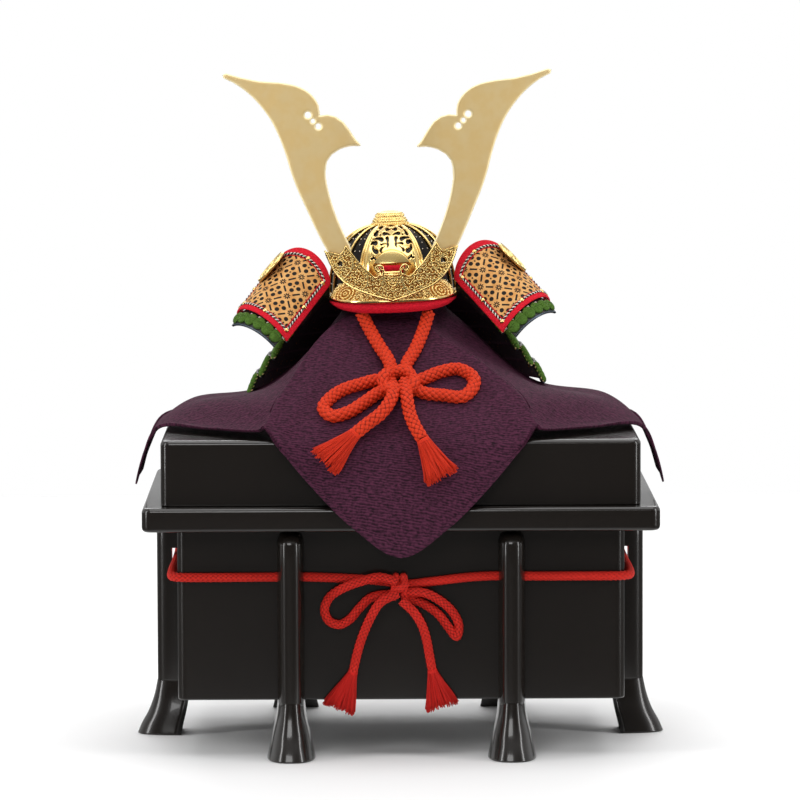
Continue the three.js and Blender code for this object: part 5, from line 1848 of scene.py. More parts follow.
# Commas of the front plate's right half, in the helmet's frame: x, z, head radius, length, and the
# direction of the head in degrees with how far it bends towards the tail.
PLATE_COMMAS = [
    (7.4, 50.0, 1.15, 2.6, 150, 40), (3.0, 49.0, 1.15, 2.8, 190, -40), (0.4, 51.2, 0.5, 2.2, 0, 0),
    (10.9, 46.0, 1.5, 3.6, 115, 50), (7.7, 45.6, 0.6, 0.2, 0, 0), (4.9, 46.3, 1.25, 4.0, 175, 40),
    (6.9, 42.6, 1.35, 6.4, 25, -60), (3.1, 43.4, 1.1, 3.6, 250, 50), (11.3, 40.4, 1.5, 3.6, 10, -70),
    (7.4, 39.4, 0.65, 3.6, 160, 40), (11.0, 34.6, 1.6, 4.8, 20, 100), (7.9, 34.9, 0.75, 4.2, 105, 60),
    (2.9, 39.6, 0.7, 2.4, 250, 70), (14.2, 44.0, 0.7, 3.0, 100, 40), (11.8, 29.8, 0.75, 0.2, 0, 0),
    (13.0, 30.7, 0.9, 0.2, 0, 0), (14.3, 29.8, 0.75, 0.2, 0, 0),
]


@dataclass
class Brim:
    """The brim: a chased gold plate with a bright lip over a rolled red edge."""

    radius: float = 47.3
    centre: float = -12.7
    half_turn: float = 68
    lip: float = 1.5
    top: float = 13
    inner: float = 39.8
    depth: float = 7

    def point(self, turn: np.ndarray, radius: np.ndarray, height: np.ndarray) -> np.ndarray:
        """A point on an arc in plan: radius times sine and cosine of the turn."""
        return np.stack(
            np.broadcast_arrays(radius * np.sin(turn), self.centre - radius * np.cos(turn), height), -1
        )

    def build(self) -> None:
        """Build the plate, its lip and the red roll."""
        half = math.radians(self.half_turn)
        cols, rows = 460, 64
        u, v = np.linspace(0, 1, cols)[None, :], np.linspace(0, 1, rows)[:, None]
        turn = half * (2 * u - 1)
        side = np.abs(2 * u - 1) ** 4
        run, up = turn * 44, v * 13.5
        r = np.hypot((np.abs(run) - 37) * 0.85, up - 5.5)
        around = np.arctan2(up - 5.5, np.abs(run) - 37)
        beads = np.maximum(np.cos(around * np.maximum(np.round(r * 3.2), 4)), 0)
        ovals = smoothstep(np.cos(TAU * (r - 1.2) / 2.5), -0.2, 0.7) * (0.45 + 0.55 * beads)
        ovals = ovals * (1 - smoothstep(r, 8.6, 9.2))
        wild = curls(run + 0 * up, up + 0 * run, 4.4, 5, 1.2) * smoothstep(r, 8.6, 9.4)
        ribs = (1 - smoothstep(np.abs(np.abs(run) - 9 - 0.16 * up**1.7), 0.5, 1.0)) * smoothstep(r, 8.6, 9.4)
        leaf = (1 - smoothstep(np.abs(np.abs(run) - 20 - 0.5 * up), 0.4, 0.9)) * smoothstep(r, 8.6, 9.4)
        level = np.maximum.reduce([ovals, wild * 0.85, ribs, leaf])
        level = np.maximum(level, smoothstep(v, 0.97, 1.0)) * smoothstep(v, 0.0, 0.05)
        height = self.lip + side * 2 + (self.top - self.lip - side * 3) * v**0.9 + 0.35 * level
        table = self.point(turn, self.radius - (self.radius - self.inner) * v + 0.75 * level, height)
        # The level also sets the colour: the gold paints shade where it is low, between the chased lines and
        # along the lower edge.
        make_piece("brim_chasing", leaned(grid(table)), GOLD, ["brim_plate"], level, thickness=1.0)
        t = np.linspace(-1, 1, 160)
        lip = self.point(half * t, np.full(160, self.radius + 0.3), self.lip + 2 * np.abs(t) ** 4 - 0.2)
        make_piece("brim_lip", leaned(tube(lip, 0.95, 12, flat=1.25)), BRIGHT_GOLD)
        a = np.linspace(0, 1, 22)[:, None]
        s = np.linspace(-1, 1, 150)[None, :]
        depth = self.depth * (1 - 0.55 * np.abs(s) ** 3)
        swell = np.sin(a * math.pi)
        roll = self.point(
            half * s,
            self.radius + 0.7 - depth * 0.3 * (1 - swell) - 1.3 * a,
            self.lip + 2 * s**4 - 1.2 - depth * a,
        )
        form = grid(roll[::-1], size=(112.0, 9.0))
        make_piece("brim_red_roll", leaned(form), RED_CLOTH, ["brim_edge"], thickness=1.6)


BASE_INNER = [[0, 20], [7.5, 20.3], [11.6, 18.6], [16.8, 23.2], [22.6, 29.2], [27.6, 36], [31.3, 41.2]]
SOCKET_TOP = [[33.2, 37.4], [35.6, 34.9], [40, 36.3]]
BASE_OUTER = [[45.6, 37.2], [42.2, 28], [37.2, 19.6], [29.8, 12.6], [19.4, 7.8], [11, 4.8], [0, 1.6]]
HORN_INNER = [
    [28.2, 33.0], [27.6, 38.6], [32.5, 50], [37.4, 63], [40.7, 75], [42.8, 87], [42.6, 94], [41.4, 99]
]
HORN_BEAK = [[38, 103.4], [31.9, 107], [24.6, 108.8], [17.9, 109], [21.3, 113.6], [25.1, 120]]
HORN_LOBE = [[29.4, 126], [34.6, 129.6], [39.9, 131], [45.4, 130.4]]
HORN_BROW = [[45.3, 132], [46, 138], [49.4, 143.8], [54.6, 148.4], [62, 151.8], [73, 154]]
HORN_TIP = [[86, 155.2], [98, 158], [108.6, 161.2], [111.4, 160.6], [110.8, 158]]
HORN_OUTER = [
    [104, 154.6], [97, 149.6], [90, 143], [83.6, 135], [78.6, 127], [73.6, 115.6], [69.8, 103.8],
    [66.6, 91.4], [62.4, 79], [57.4, 67], [51.8, 53.6], [44.6, 38.4], [40.6, 32.5],
]
HORN_HOLES = [(53.4, 131, 2.2), (50.2, 126.8, 1.5), (46.6, 123, 2.0)]


@dataclass
class Crest:
    """The two horns and the scroll-work base that holds them, bent to one curve in plan."""

    front: float = -61.3
    bend: float = 110
    straight: float = 38
    base_thickness: float = 2
    clearance: float = 0.3
    right_turn: float = 2
    right_drop: float = 3
    foot: tuple = (38.0, 40.0)

    def back(self, x: np.ndarray) -> np.ndarray:
        """How far back the curve lies: an arc near the middle, then straight."""
        near = np.minimum(np.abs(x), self.straight)
        return self.front + near**2 / (2 * self.bend) + (np.abs(x) - near) * self.straight / self.bend

    def wire(self, x: np.ndarray, z: np.ndarray, ahead: float, radius: float, sides: int = 8) -> Form:
        """A round wire on the base's front.

        Args:
            x: its places across.
            z: its places up.
            ahead: how far it lies before the base's middle.
            radius: its radius.
            sides: points round it.

        Returns:
            The wire.
        """
        return tube(np.stack([x, self.back(x) - ahead, z], 1), radius, sides)

    def build(self) -> None:
        """Build the base and both horns."""
        self.build_base()
        self.build_trims()
        for lean in Lean:
            self.build_horn(lean)

    def build_base(self) -> None:
        """Scrolls in relief between bright raised edges, with a rosette and two curls at the middle."""
        inner, outer = smooth_line(BASE_INNER, 24), smooth_line(BASE_OUTER, 28)
        half = np.concatenate([inner, np.array(SOCKET_TOP), outer])
        shape = np.concatenate([half, half[1:-1][::-1] * [-1, 1]])
        x, z = np.linspace(-47, 47, 400), np.linspace(1, 42, 176)
        xx, zz = np.meshgrid(x, z)

        def field(a: np.ndarray, b: np.ndarray) -> np.ndarray:
            """Distance inside the outline and outside the two heart-shaped holes."""
            inside = polygon_distance(a, b, shape)
            dx, dz = np.abs(a) - 35.5, b - 28.6
            heart = np.hypot(dx / 1.15, dz + 0.35 * np.abs(dx)) - 1.75
            return np.minimum(inside, heart)

        holes = field(xx, zz)
        ribs = [
            [(6.2, 19.5), (6.6, 14), (9.4, 9.4), (13.5, 6.4)], [(20, 27), (17, 16), (21, 9.4)],
            [(27, 34.6), (27.6, 25), (34, 17)],
        ]

        def level_at(a: np.ndarray, b: np.ndarray, f: np.ndarray) -> np.ndarray:
            """The relief: edges, framing lines, the middle rosette, and scrolls elsewhere."""
            scroll = curls(a, b, 4.3, 11, 1.2) * 0.9
            edge = smoothstep(f, 0.02, 0.2) * (1 - smoothstep(f, 1.0, 1.3))
            edge = edge + smoothstep(f, 1.7, 1.95) * (1 - smoothstep(f, 2.3, 2.55)) * 0.9
            lines = np.zeros(a.shape)
            for rib in ribs:
                away = line_distance(np.abs(a), b, smooth_line(rib, 10))
                lines = np.maximum(lines, 1 - smoothstep(away, 0.35, 0.75))
            r = np.hypot(a, b - 14.0)
            turn = np.arctan2(b - 14.0, a)
            petals = smoothstep(np.cos(TAU * r / 1.7) + 0.3 * np.cos(8 * turn), -0.2, 0.5)
            rosette = (1 - smoothstep(r, 3.1, 3.5)) * (0.45 + 0.55 * petals)
            plain = smoothstep(r, 3.2, 3.8)
            return np.maximum.reduce([scroll * plain, edge, lines * plain, rosette])

        def surface(a: np.ndarray, b: np.ndarray, f: np.ndarray) -> np.ndarray:
            """The base's front face with its relief towards the viewer."""
            level = level_at(a, b, f)
            return np.stack([a, self.back(a) - self.base_thickness / 2 + 0.55 - 1.2 * level, b], -1)

        form = pierced(x, z, holes, surface)
        # The level sets the colour too: the gold paints shade in the hollows between scrolls, edges and
        # lines.
        level = level_at(form.points[:, 0], form.points[:, 2], field(form.points[:, 0], form.points[:, 2]))
        make_piece("crest_base_scrolls", leaned(form), GOLD, ["crest_base"], level, thickness=1.3)

    def build_trims(self) -> None:
        """Two curls with their necks, a bar, bright rims, two rings, and the red strip behind the curls."""
        trims = []
        wind = np.linspace(0, 2.2 * TAU / 2, 40)
        r = 2.9 - 1.9 * wind / wind[-1]
        for side in (-1, 1):
            trims.append(self.wire(side * (9.0 - r * np.cos(wind)), 24.0 + r * np.sin(wind), 1.6, 0.75))
            neck = smooth_line([(side * 6.1, 24), (side * 5.8, 21.6), (side * 6.6, 19.0)], 10)
            trims.append(self.wire(neck[:, 0], neck[:, 1], 1.5, 0.8))
        trims.append(self.wire(np.linspace(-6.0, 6.0, 12), np.full(12, 21.4), 1.3, 0.85))
        for side in (-1, 1):
            for line, inset in ((BASE_INNER, -0.5), (BASE_OUTER, 0.55)):
                rim = smooth_line(line, 40) + [0, inset]
                trims.append(self.wire(side * rim[:, 0], rim[:, 1], 1.35, 0.62))
        a = np.linspace(0, TAU, 30)
        for size, thick in ((3.1, 0.5), (1.4, 0.45)):
            trims.append(self.wire(size * np.cos(a), 15 + size * np.sin(a), 1.5, thick, 7))
        make_piece("crest_curls", leaned(joined(trims)), BRIGHT_GOLD)
        s = np.linspace(-9, 9, 20)
        rows = [np.stack([s, -50.2 + s**2 / self.bend, np.full(20, h)], 1) for h in (21.0, 23.0, 25.6)]
        strip = np.stack(rows)
        make_piece("crest_red_strip", leaned(grid(strip, size=(18.0, 4.6))), RED_CLOTH, thickness=0.8)

    def build_horn(self, lean: Lean) -> None:
        """A flat horn with a bevelled edge in a painted highlight, and three small holes near the lobe.

        Args:
            lean: which horn.
        """
        outline = np.concatenate([
            smooth_line(HORN_INNER, 24), smooth_line(HORN_BEAK, 15), np.array(HORN_LOBE),
            smooth_line(HORN_BROW, 16), np.array(HORN_TIP), smooth_line(HORN_OUTER, 36),
        ])
        holes = np.array(HORN_HOLES)
        if lean is Lean.RIGHT:
            outline, centres = self.settled(outline), self.settled(holes[:, :2])
            holes = np.concatenate([centres, holes[:, 2:]], 1)
        x = np.linspace(outline[:, 0].min() - 0.5, outline[:, 0].max() + 0.5, 210)
        z = np.linspace(outline[:, 1].min() - 0.5, outline[:, 1].max() + 0.5, 270)
        xx, zz = np.meshgrid(x, z)

        def field(a: np.ndarray, b: np.ndarray) -> np.ndarray:
            """Distance inside the outline and outside the holes."""
            value = polygon_distance(a, b, outline)
            for hx, hz, r in holes:
                value = np.minimum(value, np.hypot(a - hx, b - hz) - r)
            return value

        def surface(a: np.ndarray, b: np.ndarray, f: np.ndarray) -> np.ndarray:
            """The front face, rounded off over the last millimetre."""
            drop = 0.4 * (1 - smoothstep(f, 0.0, 0.9)) + 0.1 * (1 - smoothstep(f, 0.9, 1.6))
            depth = self.base_thickness / 2 + self.clearance + drop
            return np.stack([a, self.back(a) + depth, b], -1)

        form = pierced(x, z, field(xx, zz), surface)
        # Relief is low within about a millimetre of the edge, where satin gold's paler deep colour paints a
        # highlight.
        level = smoothstep(field(form.points[:, 0], form.points[:, 2]), 0.55, 1.2)
        if lean is Lean.LEFT:
            form = mirrored(form)
        name = f"horn_{lean.word}"
        make_piece(f"{name}_plate", leaned(form), SATIN_GOLD, [name], level, thickness=1.1)

    def settled(self, points: np.ndarray) -> np.ndarray:
        """Points of the right horn, which leans out a little more and sits a little lower."""
        a = -math.radians(self.right_turn)
        x, z = (points - self.foot).T
        turned = np.stack([x * math.cos(a) - z * math.sin(a), x * math.sin(a) + z * math.cos(a)], 1)
        return turned + self.foot - np.array([0, self.right_drop])


@dataclass
class Wings:
    """The turned-back ends of the first lame, and of the next lame below them."""

    top: tuple = (43.0, -28.0, 12.5)
    axis: tuple = (31.3, -30.0, -36.0)
    radius: float = 29
    wall: float = 1.6
    start: float = -20
    end: float = 112
    length: float = 56.3
    border: float = 4.4
    rosette_radius: float = 13.5

    def point(self, turn: np.ndarray, along: np.ndarray, radius: np.ndarray) -> np.ndarray:
        """A point on the right wing: part of a tube whose axis runs down, out and forward.

        Args:
            turn: the angle round the tube.
            along: millimetres along its axis.
            radius: its distance from the axis.

        Returns:
            The points.
        """
        axis = unit(np.array(self.axis))
        across = unit(np.array([-axis[2], 0, axis[0]]))
        out = np.cross(axis, across)
        start = math.radians(self.start)
        a = (np.cos(turn) * radius - math.cos(start) * self.radius)[..., None] * out
        b = (np.sin(turn) * radius - math.sin(start) * self.radius)[..., None] * across
        return np.array(self.top) + np.asarray(along)[..., None] * axis + a + b

    def outward(self, turn: float) -> np.ndarray:
        """The direction square out of the tube at a turn."""
        return self.point(turn, 0.0, 1.0) - self.point(turn, 0.0, 0.0)

    def turn_at(self, share: np.ndarray) -> np.ndarray:
        """The angle at a share of the way from the first turn to the last."""
        return math.radians(self.start) + math.radians(self.end - self.start) * share

    def top_edge(self, turn: np.ndarray) -> np.ndarray:
        """Where the upper edge runs: it rises as a half sine."""
        share = (turn - math.radians(self.start)) / math.radians(self.end - self.start)
        return -13 * np.abs(np.sin(math.pi * np.clip(share * 1.05, 0, 1))) ** 0.7

    def low_edge(self, turn: np.ndarray) -> np.ndarray:
        """Where the lower edge runs."""
        return self.length - 0.09 * np.degrees(turn - math.radians(self.start))

    def ends(self, inset: float) -> tuple[float, float]:
        """The first and last turn, moved in by some millimetres."""
        return math.radians(self.start) + inset / self.radius, math.radians(self.end) - inset / self.radius

    def outline(self) -> np.ndarray:
        """The wing's edge in flat millimetres: turn times radius, and along."""
        turn = np.linspace(*self.ends(0), 30)
        upper = np.stack([turn * self.radius, self.top_edge(turn)], 1)
        lower = np.stack([turn * self.radius, self.low_edge(turn)], 1)
        return np.concatenate([upper, lower[::-1]])

    def around(self, inset: float, radius: float, step: float) -> np.ndarray:
        """A closed path that runs inside the wing's edge.

        Args:
            inset: how far inside.
            radius: its distance from the tube's axis.
            step: the spacing of its points.

        Returns:
            The points, the last at the first.
        """
        first, last = self.ends(inset)
        turn = np.linspace(first, last, 16)
        upper, lower = self.top_edge(turn) + inset + 1.2, self.low_edge(turn) - inset
        rise = np.linspace(0.03, 0.97, 10)
        ring = np.concatenate([
            np.stack([turn, upper], 1),
            np.stack([np.full(10, last), upper[-1] + (lower[-1] - upper[-1]) * rise], 1),
            np.stack([turn, lower], 1)[::-1],
            np.stack([np.full(10, first), lower[0] + (upper[0] - lower[0]) * rise], 1),
        ])
        ring = np.concatenate([ring, ring[:1]])
        return even_path(self.point(ring[:, 0], ring[:, 1], np.full(len(ring), radius)), step)

    def build(self) -> None:
        """Build both wings with what is on and under them."""
        for lean in Lean:
            self.build_wing(lean)
            self.build_under(lean)
            self.build_rosette(lean)

    def piece(
        self,
        lean: Lean,
        name: str,
        forms: Sequence[Form],
        finish: Finish,
        nodes: Sequence[str] = (),
        **more: object,
    ) -> None:
        """Make a piece of the right wing, or its mirror image, under the wing's own name."""
        form = joined(forms)
        if lean is Lean.LEFT:
            form = mirrored(form)
        stood_for = [f"{node}_{lean.word}" for node in nodes]
        make_piece(f"wing_{lean.word}_{name}", leaned(form), finish, stood_for, **more)

    def build_wing(self, lean: Lean) -> None:
        """Printed leather in a red binding, with stitching, a thin red line and rivets.

        Args:
            lean: which wing.
        """
        first, last = self.ends(0)
        s = np.linspace(first * self.radius - 0.5, last * self.radius + 0.5, 120)
        t = np.linspace(-14, self.length + 1, 124)
        flat = polygon_distance(*np.meshgrid(s, t), self.outline())

        def leather(a: np.ndarray, b: np.ndarray, f: np.ndarray) -> np.ndarray:
            """The leather lies a little below the binding."""
            return self.point(a / self.radius, b, np.full(a.shape, self.radius - 0.45))

        form = pierced(s, t, flat - 0.8, leather)
        form.uv = np.stack([form.uv[:, 0] + form.uv[:, 1], form.uv[:, 1] - form.uv[:, 0]], 1) / math.sqrt(2)
        self.piece(lean, "leather", [flipped(form)], LEATHER, ["wing"], thickness=0.8)
        turn = np.linspace(first, last, 30)
        upper = np.stack([turn * self.radius, self.top_edge(turn)], 1)
        ss, tt = np.meshgrid(s, t)
        wide = self.border + 2.2 * (1 - smoothstep(line_distance(ss, tt, upper), 5.0, 9.0))

        def binding(a: np.ndarray, b: np.ndarray, f: np.ndarray) -> np.ndarray:
            """The binding swells over its width, and rounds off at its edges."""
            return self.point(a / self.radius, b, self.radius - 0.15 + 0.55 * smoothstep(f, -0.6, 1.1))

        strip = pierced(s, t, np.minimum(flat, wide - flat), binding)
        self.piece(lean, "binding", [flipped(strip)], RED_CLOTH, thickness=1.75)
        path = self.around(self.border + 0.7, self.radius + 0.25, TWIST_STEP)
        for k, finish in enumerate((WHITE_TWIST, BLACK_TWIST)):
            self.piece(lean, f"stitching_{k + 1}", [twisted(path, k, TWIST_RADIUS * 1.05)], finish)
        line = self.around(self.border + 2.0, self.radius - 0.35, 1.2)
        self.piece(lean, "red_line", [tube(line, 0.38, 6)], RED_CLOTH)
        self.build_rivets(lean)

    def build_rivets(self, lean: Lean) -> None:
        """Gold domes along the stitching.

        Args:
            lean: which wing.
        """
        first, last = self.ends(self.border + 0.7)
        rivets = []
        for share, rise in (
            (0, 1), (0, 0.54), (0, 0.05), (0.33, 0), (0.36, 1), (0.75, 0), (0.78, 1), (1, 0.5), (1, 1), (1, 0)
        ):
            turn = first + (last - first) * share
            upper, lower = self.top_edge(turn) + self.border + 1.9, self.low_edge(turn) - self.border - 0.7
            at = self.point(turn, upper + (lower - upper) * rise, self.radius + 0.1)
            rivets.append(dome(1.75, 1.5, 14, 5).turned(facing(self.outward(turn))).shifted(*at))
        self.piece(lean, "rivets", rivets, BRIGHT_GOLD)

    def build_rosette(self, lean: Lean) -> None:
        """A generic sixteen-petalled rosette inside two round rings.

        The height is a sum of rings, each a bell of the radius, and petals, each a rounded cosine.

        Args:
            lean: which wing.
        """
        sides = 160
        angle = np.arange(sides) / sides * TAU
        spans = (0.2, 3.4, 8), (3.6, 9.4, 20), (9.6, self.rosette_radius, 22)
        r = np.concatenate([np.linspace(*span) for span in spans])[:, None]

        def ring_at(middle: float, width: float) -> np.ndarray:
            """A bell of the radius."""
            return np.exp(-(((r - middle) / width) ** 2))

        petal = np.abs(np.cos(8 * angle))[None, :] ** 0.5 * smoothstep(r, 3.6, 4.6)
        petal = petal * (1 - smoothstep(r, 8.0, 9.0))
        boss = (1 - smoothstep(r, 2.4, 3.4)) * 1.7 + 0 * angle[None, :]
        rings = ring_at(10.3, 0.55) + ring_at(12.6, 0.75) * 1.3 + 0 * angle[None, :]
        beads = ring_at(11.4, 0.4) * np.maximum(np.cos(40 * angle), 0)[None, :] * 0.5
        rise = 1.0 + 0.9 * petal + boss + rings + beads
        rise[-1] = 0.0
        top = np.stack([r * np.cos(angle), r * np.sin(angle), rise], -1)
        foot = np.stack(np.broadcast_arrays(r[[-1, 0]] * np.cos(angle), r[[-1, 0]] * np.sin(angle), 0.0), -1)
        table = np.concatenate([foot[1:], foot[:1] * [0.99, 0.99, 1], top[::-1]])
        turn, tilt = math.radians(76), math.radians(11)
        at = self.point(turn, 7.0, self.radius + 0.3)
        # Relief is low on the flat ground between petals and rings and on the foot: the gold paints shade
        # there.
        level = np.concatenate([np.zeros(2 * sides), smoothstep(rise[::-1], 1.05, 1.7).ravel()])
        disc = grid(table, ring=True, caps=True).turned(facing(self.outward(turn + tilt))).shifted(*at)
        self.piece(lean, "rosette", [disc], GOLD, ["wing_rosette"], relief=level)

    def build_under(self, lean: Lean) -> None:
        """Dark iron below the wing, with green lacing pads, small beads of lacing and a steel edge.

        Args:
            lean: which wing.
        """
        first, span, count = 0.06, 0.72, 50
        share = np.linspace(0, 1, count)
        turn = self.turn_at(first + span * share)
        low = self.low_edge(turn) + 12 * (0.75 + 0.35 * share)
        radius = self.radius - self.wall - 1.1
        rise = np.linspace(0, 1, 14)[:, None]
        table = self.point(turn + 0 * rise, 46 + (low - 46) * rise, np.full((14, count), radius))
        self.piece(lean, "under_iron", [flipped(grid(table))], DARK_IRON, ["under_wing"], thickness=1.5)
        edge = self.point(turn, low - 0.4, np.full(count, radius - 0.6))
        self.piece(lean, "under_edge", [tube(edge, 0.7, 8)], STEEL_EDGE)
        pads, levels, beads, white = [], [], [], []
        phi, r = np.arange(44) / 44 * TAU, np.linspace(0.02, 1, 16)[:, None]
        across, along = r * np.cos(phi), r * np.sin(phi)
        groove = 1 + 0.2 * (np.abs(np.sin(along * math.pi * 3.5)) ** 0.5 - 1)
        lift = np.sqrt(np.maximum(1 - across**2 - along**2, 0.0)) ** 0.8 * groove
        for k in range(6):
            at_share = 0.13 + 0.118 * k
            middle = self.turn_at(at_share)
            foot = float(self.low_edge(middle) + 12 * (0.75 + 0.35 * (at_share - first) / span))
            turn, height = middle + across * 4.45 / radius, radius - 0.6 + 3.6 * lift
            place = self.point(turn, foot - 6.2 + 5.2 * along, height)
            pads.append(flipped(grid(place[::-1], ring=True, caps=True, size=(1.0, 12.0))))
            # Relief is low round each pad's rim: the silk paints shade there.
            levels.append((0.1 + 0.9 * smoothstep(lift, 0.15, 0.9))[::-1].ravel())
            for side, knots in ((-1, white), (1, beads)):
                at = self.point(middle + side * 4.9 / radius, foot - 8.5 + side * 1.2, radius + 0.2)
                knots.append(dome(1.15, 1.2, 8, 3).turned(facing(self.outward(middle))).shifted(*at))
        self.piece(lean, "lacing_pads", pads, GREEN_LACING, relief=np.concatenate(levels))
        self.piece(lean, "lacing_beads", beads, BRIGHT_GOLD)
        self.piece(lean, "lacing_knots", white, WHITE_TWIST)


@dataclass
class NeckGuard:
    """Five laced lames on one cone, open at the front."""

    openings: tuple = (56.0, 72.5, 74.0, 76.0, 78.0)
    step: float = 11.9
    height: float = 15
    top: float = 0.6
    top_radius: float = 48.3
    bottom_radius: float = 104
    wall: float = 1.8
    flare_share: float = 0.055
    swell: float = 0.7
    cord_width: float = 4.4

    def point(self, number: int, u: np.ndarray, v: np.ndarray, lift: np.ndarray) -> np.ndarray:
        """A point on a lame's outer face, whose first lame sweeps out to the wings at its ends.

        Args:
            number: the lame, from 0 at the top.
            u: 0 to 1 round the back from the right end.
            v: 0 to 1 down the lame.
            lift: millimetres out.

        Returns:
            The points.
        """
        wings = Wings()
        opening = math.radians(self.openings[number])
        turn = opening + (TAU - 2 * opening) * u
        z = self.top - number * self.step - self.height * v
        share = np.clip((self.top - z) / (5 * self.step), 0, 1.1) ** self.swell
        radius = self.top_radius + (self.bottom_radius - self.top_radius) * share + (0.5 - v) * 3.2 + lift
        turn, z, radius = np.broadcast_arrays(turn, z, radius)
        place = np.stack([radius * np.sin(turn), -radius * np.cos(turn), z], -1)
        if number > 0:
            return place
        share = np.maximum(1 - np.minimum(u, 1 - u) / self.flare_share, 0) ** 1.5
        behind = wings.radius - wings.wall - 1.7
        edge = wings.point(math.radians(wings.start + 5), -1 + 43 * v + 0 * z, np.full(z.shape, behind))
        edge = edge * np.where(np.broadcast_to(u, z.shape)[..., None] < 0.5, 1, [-1, 1, 1])
        return place + (edge - place) * np.broadcast_to(share, z.shape)[..., None]

    def build(self) -> None:
        """Build each lame's plate and lacing, and the ornaments at the lowest front corners."""
        for number in range(5):
            self.build_plate(number)
            self.build_lacing(number)
        self.build_ornaments()

    def build_plate(self, number: int) -> None:
        """The lame's dark plate.

        Args:
            number: the lame.
        """
        u, v = np.linspace(0, 1, 150)[None, :], np.linspace(0, 1, 7)[:, None]
        form = grid(self.point(number, u, v, np.zeros((7, 150)) - 0.25))
        name, nodes = f"lame_{number + 1}_plate", [f"neck_lame_{number + 1}"]
        make_piece(name, leaned(flipped(form)), DARK_IRON, nodes, thickness=self.wall - 0.3)

    def build_lacing(self, number: int) -> None:
        """Green cords side by side over the lame: a row of half circles in section.

        Args:
            number: the lame.
        """
        opening = math.radians(self.openings[number])
        slope = (self.bottom_radius - self.top_radius) / (5 * self.step)
        middle = self.top_radius + (number * self.step + 7) * slope
        count = int((TAU - 2 * opening) * middle / self.cord_width)
        inset = 0.06 if number == 0 else 0.008
        cols, rows = count * 6 + 1, 9
        u, v = np.linspace(0, 1, cols)[None, :], np.linspace(0.06, 0.93, rows)[:, None]
        phase = np.abs(np.sin(math.pi * u * count)) ** 0.55
        droop = np.sin(math.pi * (v - 0.06) / 0.87) ** 0.4
        lift = -0.15 + 0.65 * phase * droop
        place = self.point(number, inset + (1 - 2 * inset) * u, v, lift)
        form = grid(place, size=(count * 1.0, 13.0))
        # Relief is low between the cords and towards the lame's upper and lower edges: the silk paints shade
        # there.
        level = (0.15 + 0.85 * phase * (0.4 + 0.6 * droop)).ravel()
        name = f"lame_{number + 1}_lacing"
        make_piece(name, leaned(flipped(form)), GREEN_LACING, relief=level, thickness=0.5)
        edge = self.point(number, np.linspace(0.001, 0.999, 130), np.full(130, 0.985), np.full(130, -0.5))
        make_piece(f"lame_{number + 1}_edge", leaned(tube(edge, 0.85, 6)), STEEL_EDGE)

    def build_ornaments(self) -> None:
        """Green edge pads down the front ends, gilt plates on the lowest two lames, and stitching."""
        lower, sides = (1, 2, 3, 4), 14
        plates, pads, levels = [], [], []
        for number, first, last in ((3, 0.45, 0.9), (4, 0.1, 0.72)):
            for low, high in ((0.006, 0.026), (0.974, 0.994)):
                u, v = np.linspace(low, high, 10)[None, :], np.linspace(first, last, 14)[:, None]
                wide = np.sin(math.pi * (u - low) / (high - low)) ** 0.5
                swell = wide * np.sin(math.pi * (v - first) / (last - first)) ** 0.5
                plates.append(flipped(grid(self.point(number, u, v, 1.0 + 0.8 * swell))))
        make_piece("lame_end_plates", leaned(joined(plates)), GOLD, thickness=0.5)
        for number in lower:
            for end in (0.006, 0.994):
                line = self.point(number, np.full(12, end), np.linspace(0.03, 1.0, 12), np.full(12, 0.2))
                path = even_path(line, 0.7)
                run = np.linspace(0, 1, len(path))
                bulge = np.abs(np.sin(run * math.pi * 4))
                radius = 2.5 * np.sqrt(np.maximum(1 - (2 * run - 1) ** 6, 0.03)) * (0.9 + 0.1 * bulge)
                pads.append(tube(path, radius, sides))
                # Relief is low between the pad's bulges: the silk paints shade in those grooves.
                levels.append(np.repeat(0.35 + 0.65 * bulge, sides))
        make_piece("lame_end_pads", leaned(joined(pads)), GREEN_LACING, relief=np.concatenate(levels))
        rise, strands = np.linspace(0.1, 0.95, 8), []
        for end in (0.0015, 0.9985):
            line = np.concatenate([self.point(k, np.full(8, end), rise, np.full(8, -0.3)) for k in lower])
            strands.append(even_path(line, TWIST_STEP))
        for k, finish in enumerate((SATIN_GOLD, BLACK_TWIST)):
            threads = [twisted(path, k, 0.5) for path in strands]
            make_piece(f"lame_end_stitching_{k + 1}", leaned(joined(threads)), finish)


@dataclass
class Helmet:
    """The helmet from its crown down to its neck guard."""

    def build(self) -> None:
        """Build every part of it."""
        Bowl().build()
        Brim().build()
        Crest().build()
        Wings().build()
        NeckGuard().build()


# studio


SENSOR_MM = 36


def set_up(name: str, data: bpy.types.ID, axes: np.ndarray, at: Sequence[float]) -> bpy.types.Object:
    """Link a camera or lamp.

    Args:
        name: its name.
        data: the camera or the lamp.
        axes: its X, Y and Z directions as the columns of a 3 by 3 matrix.
        at: its place in metres.

    Returns:
        The object.
    """
    made = bpy.data.objects.new(name, data)
    made.matrix_world = Matrix([*((*axes[k], at[k]) for k in range(3)), (0, 0, 0, 1)])
    bpy.context.collection.objects.link(made)
    return made


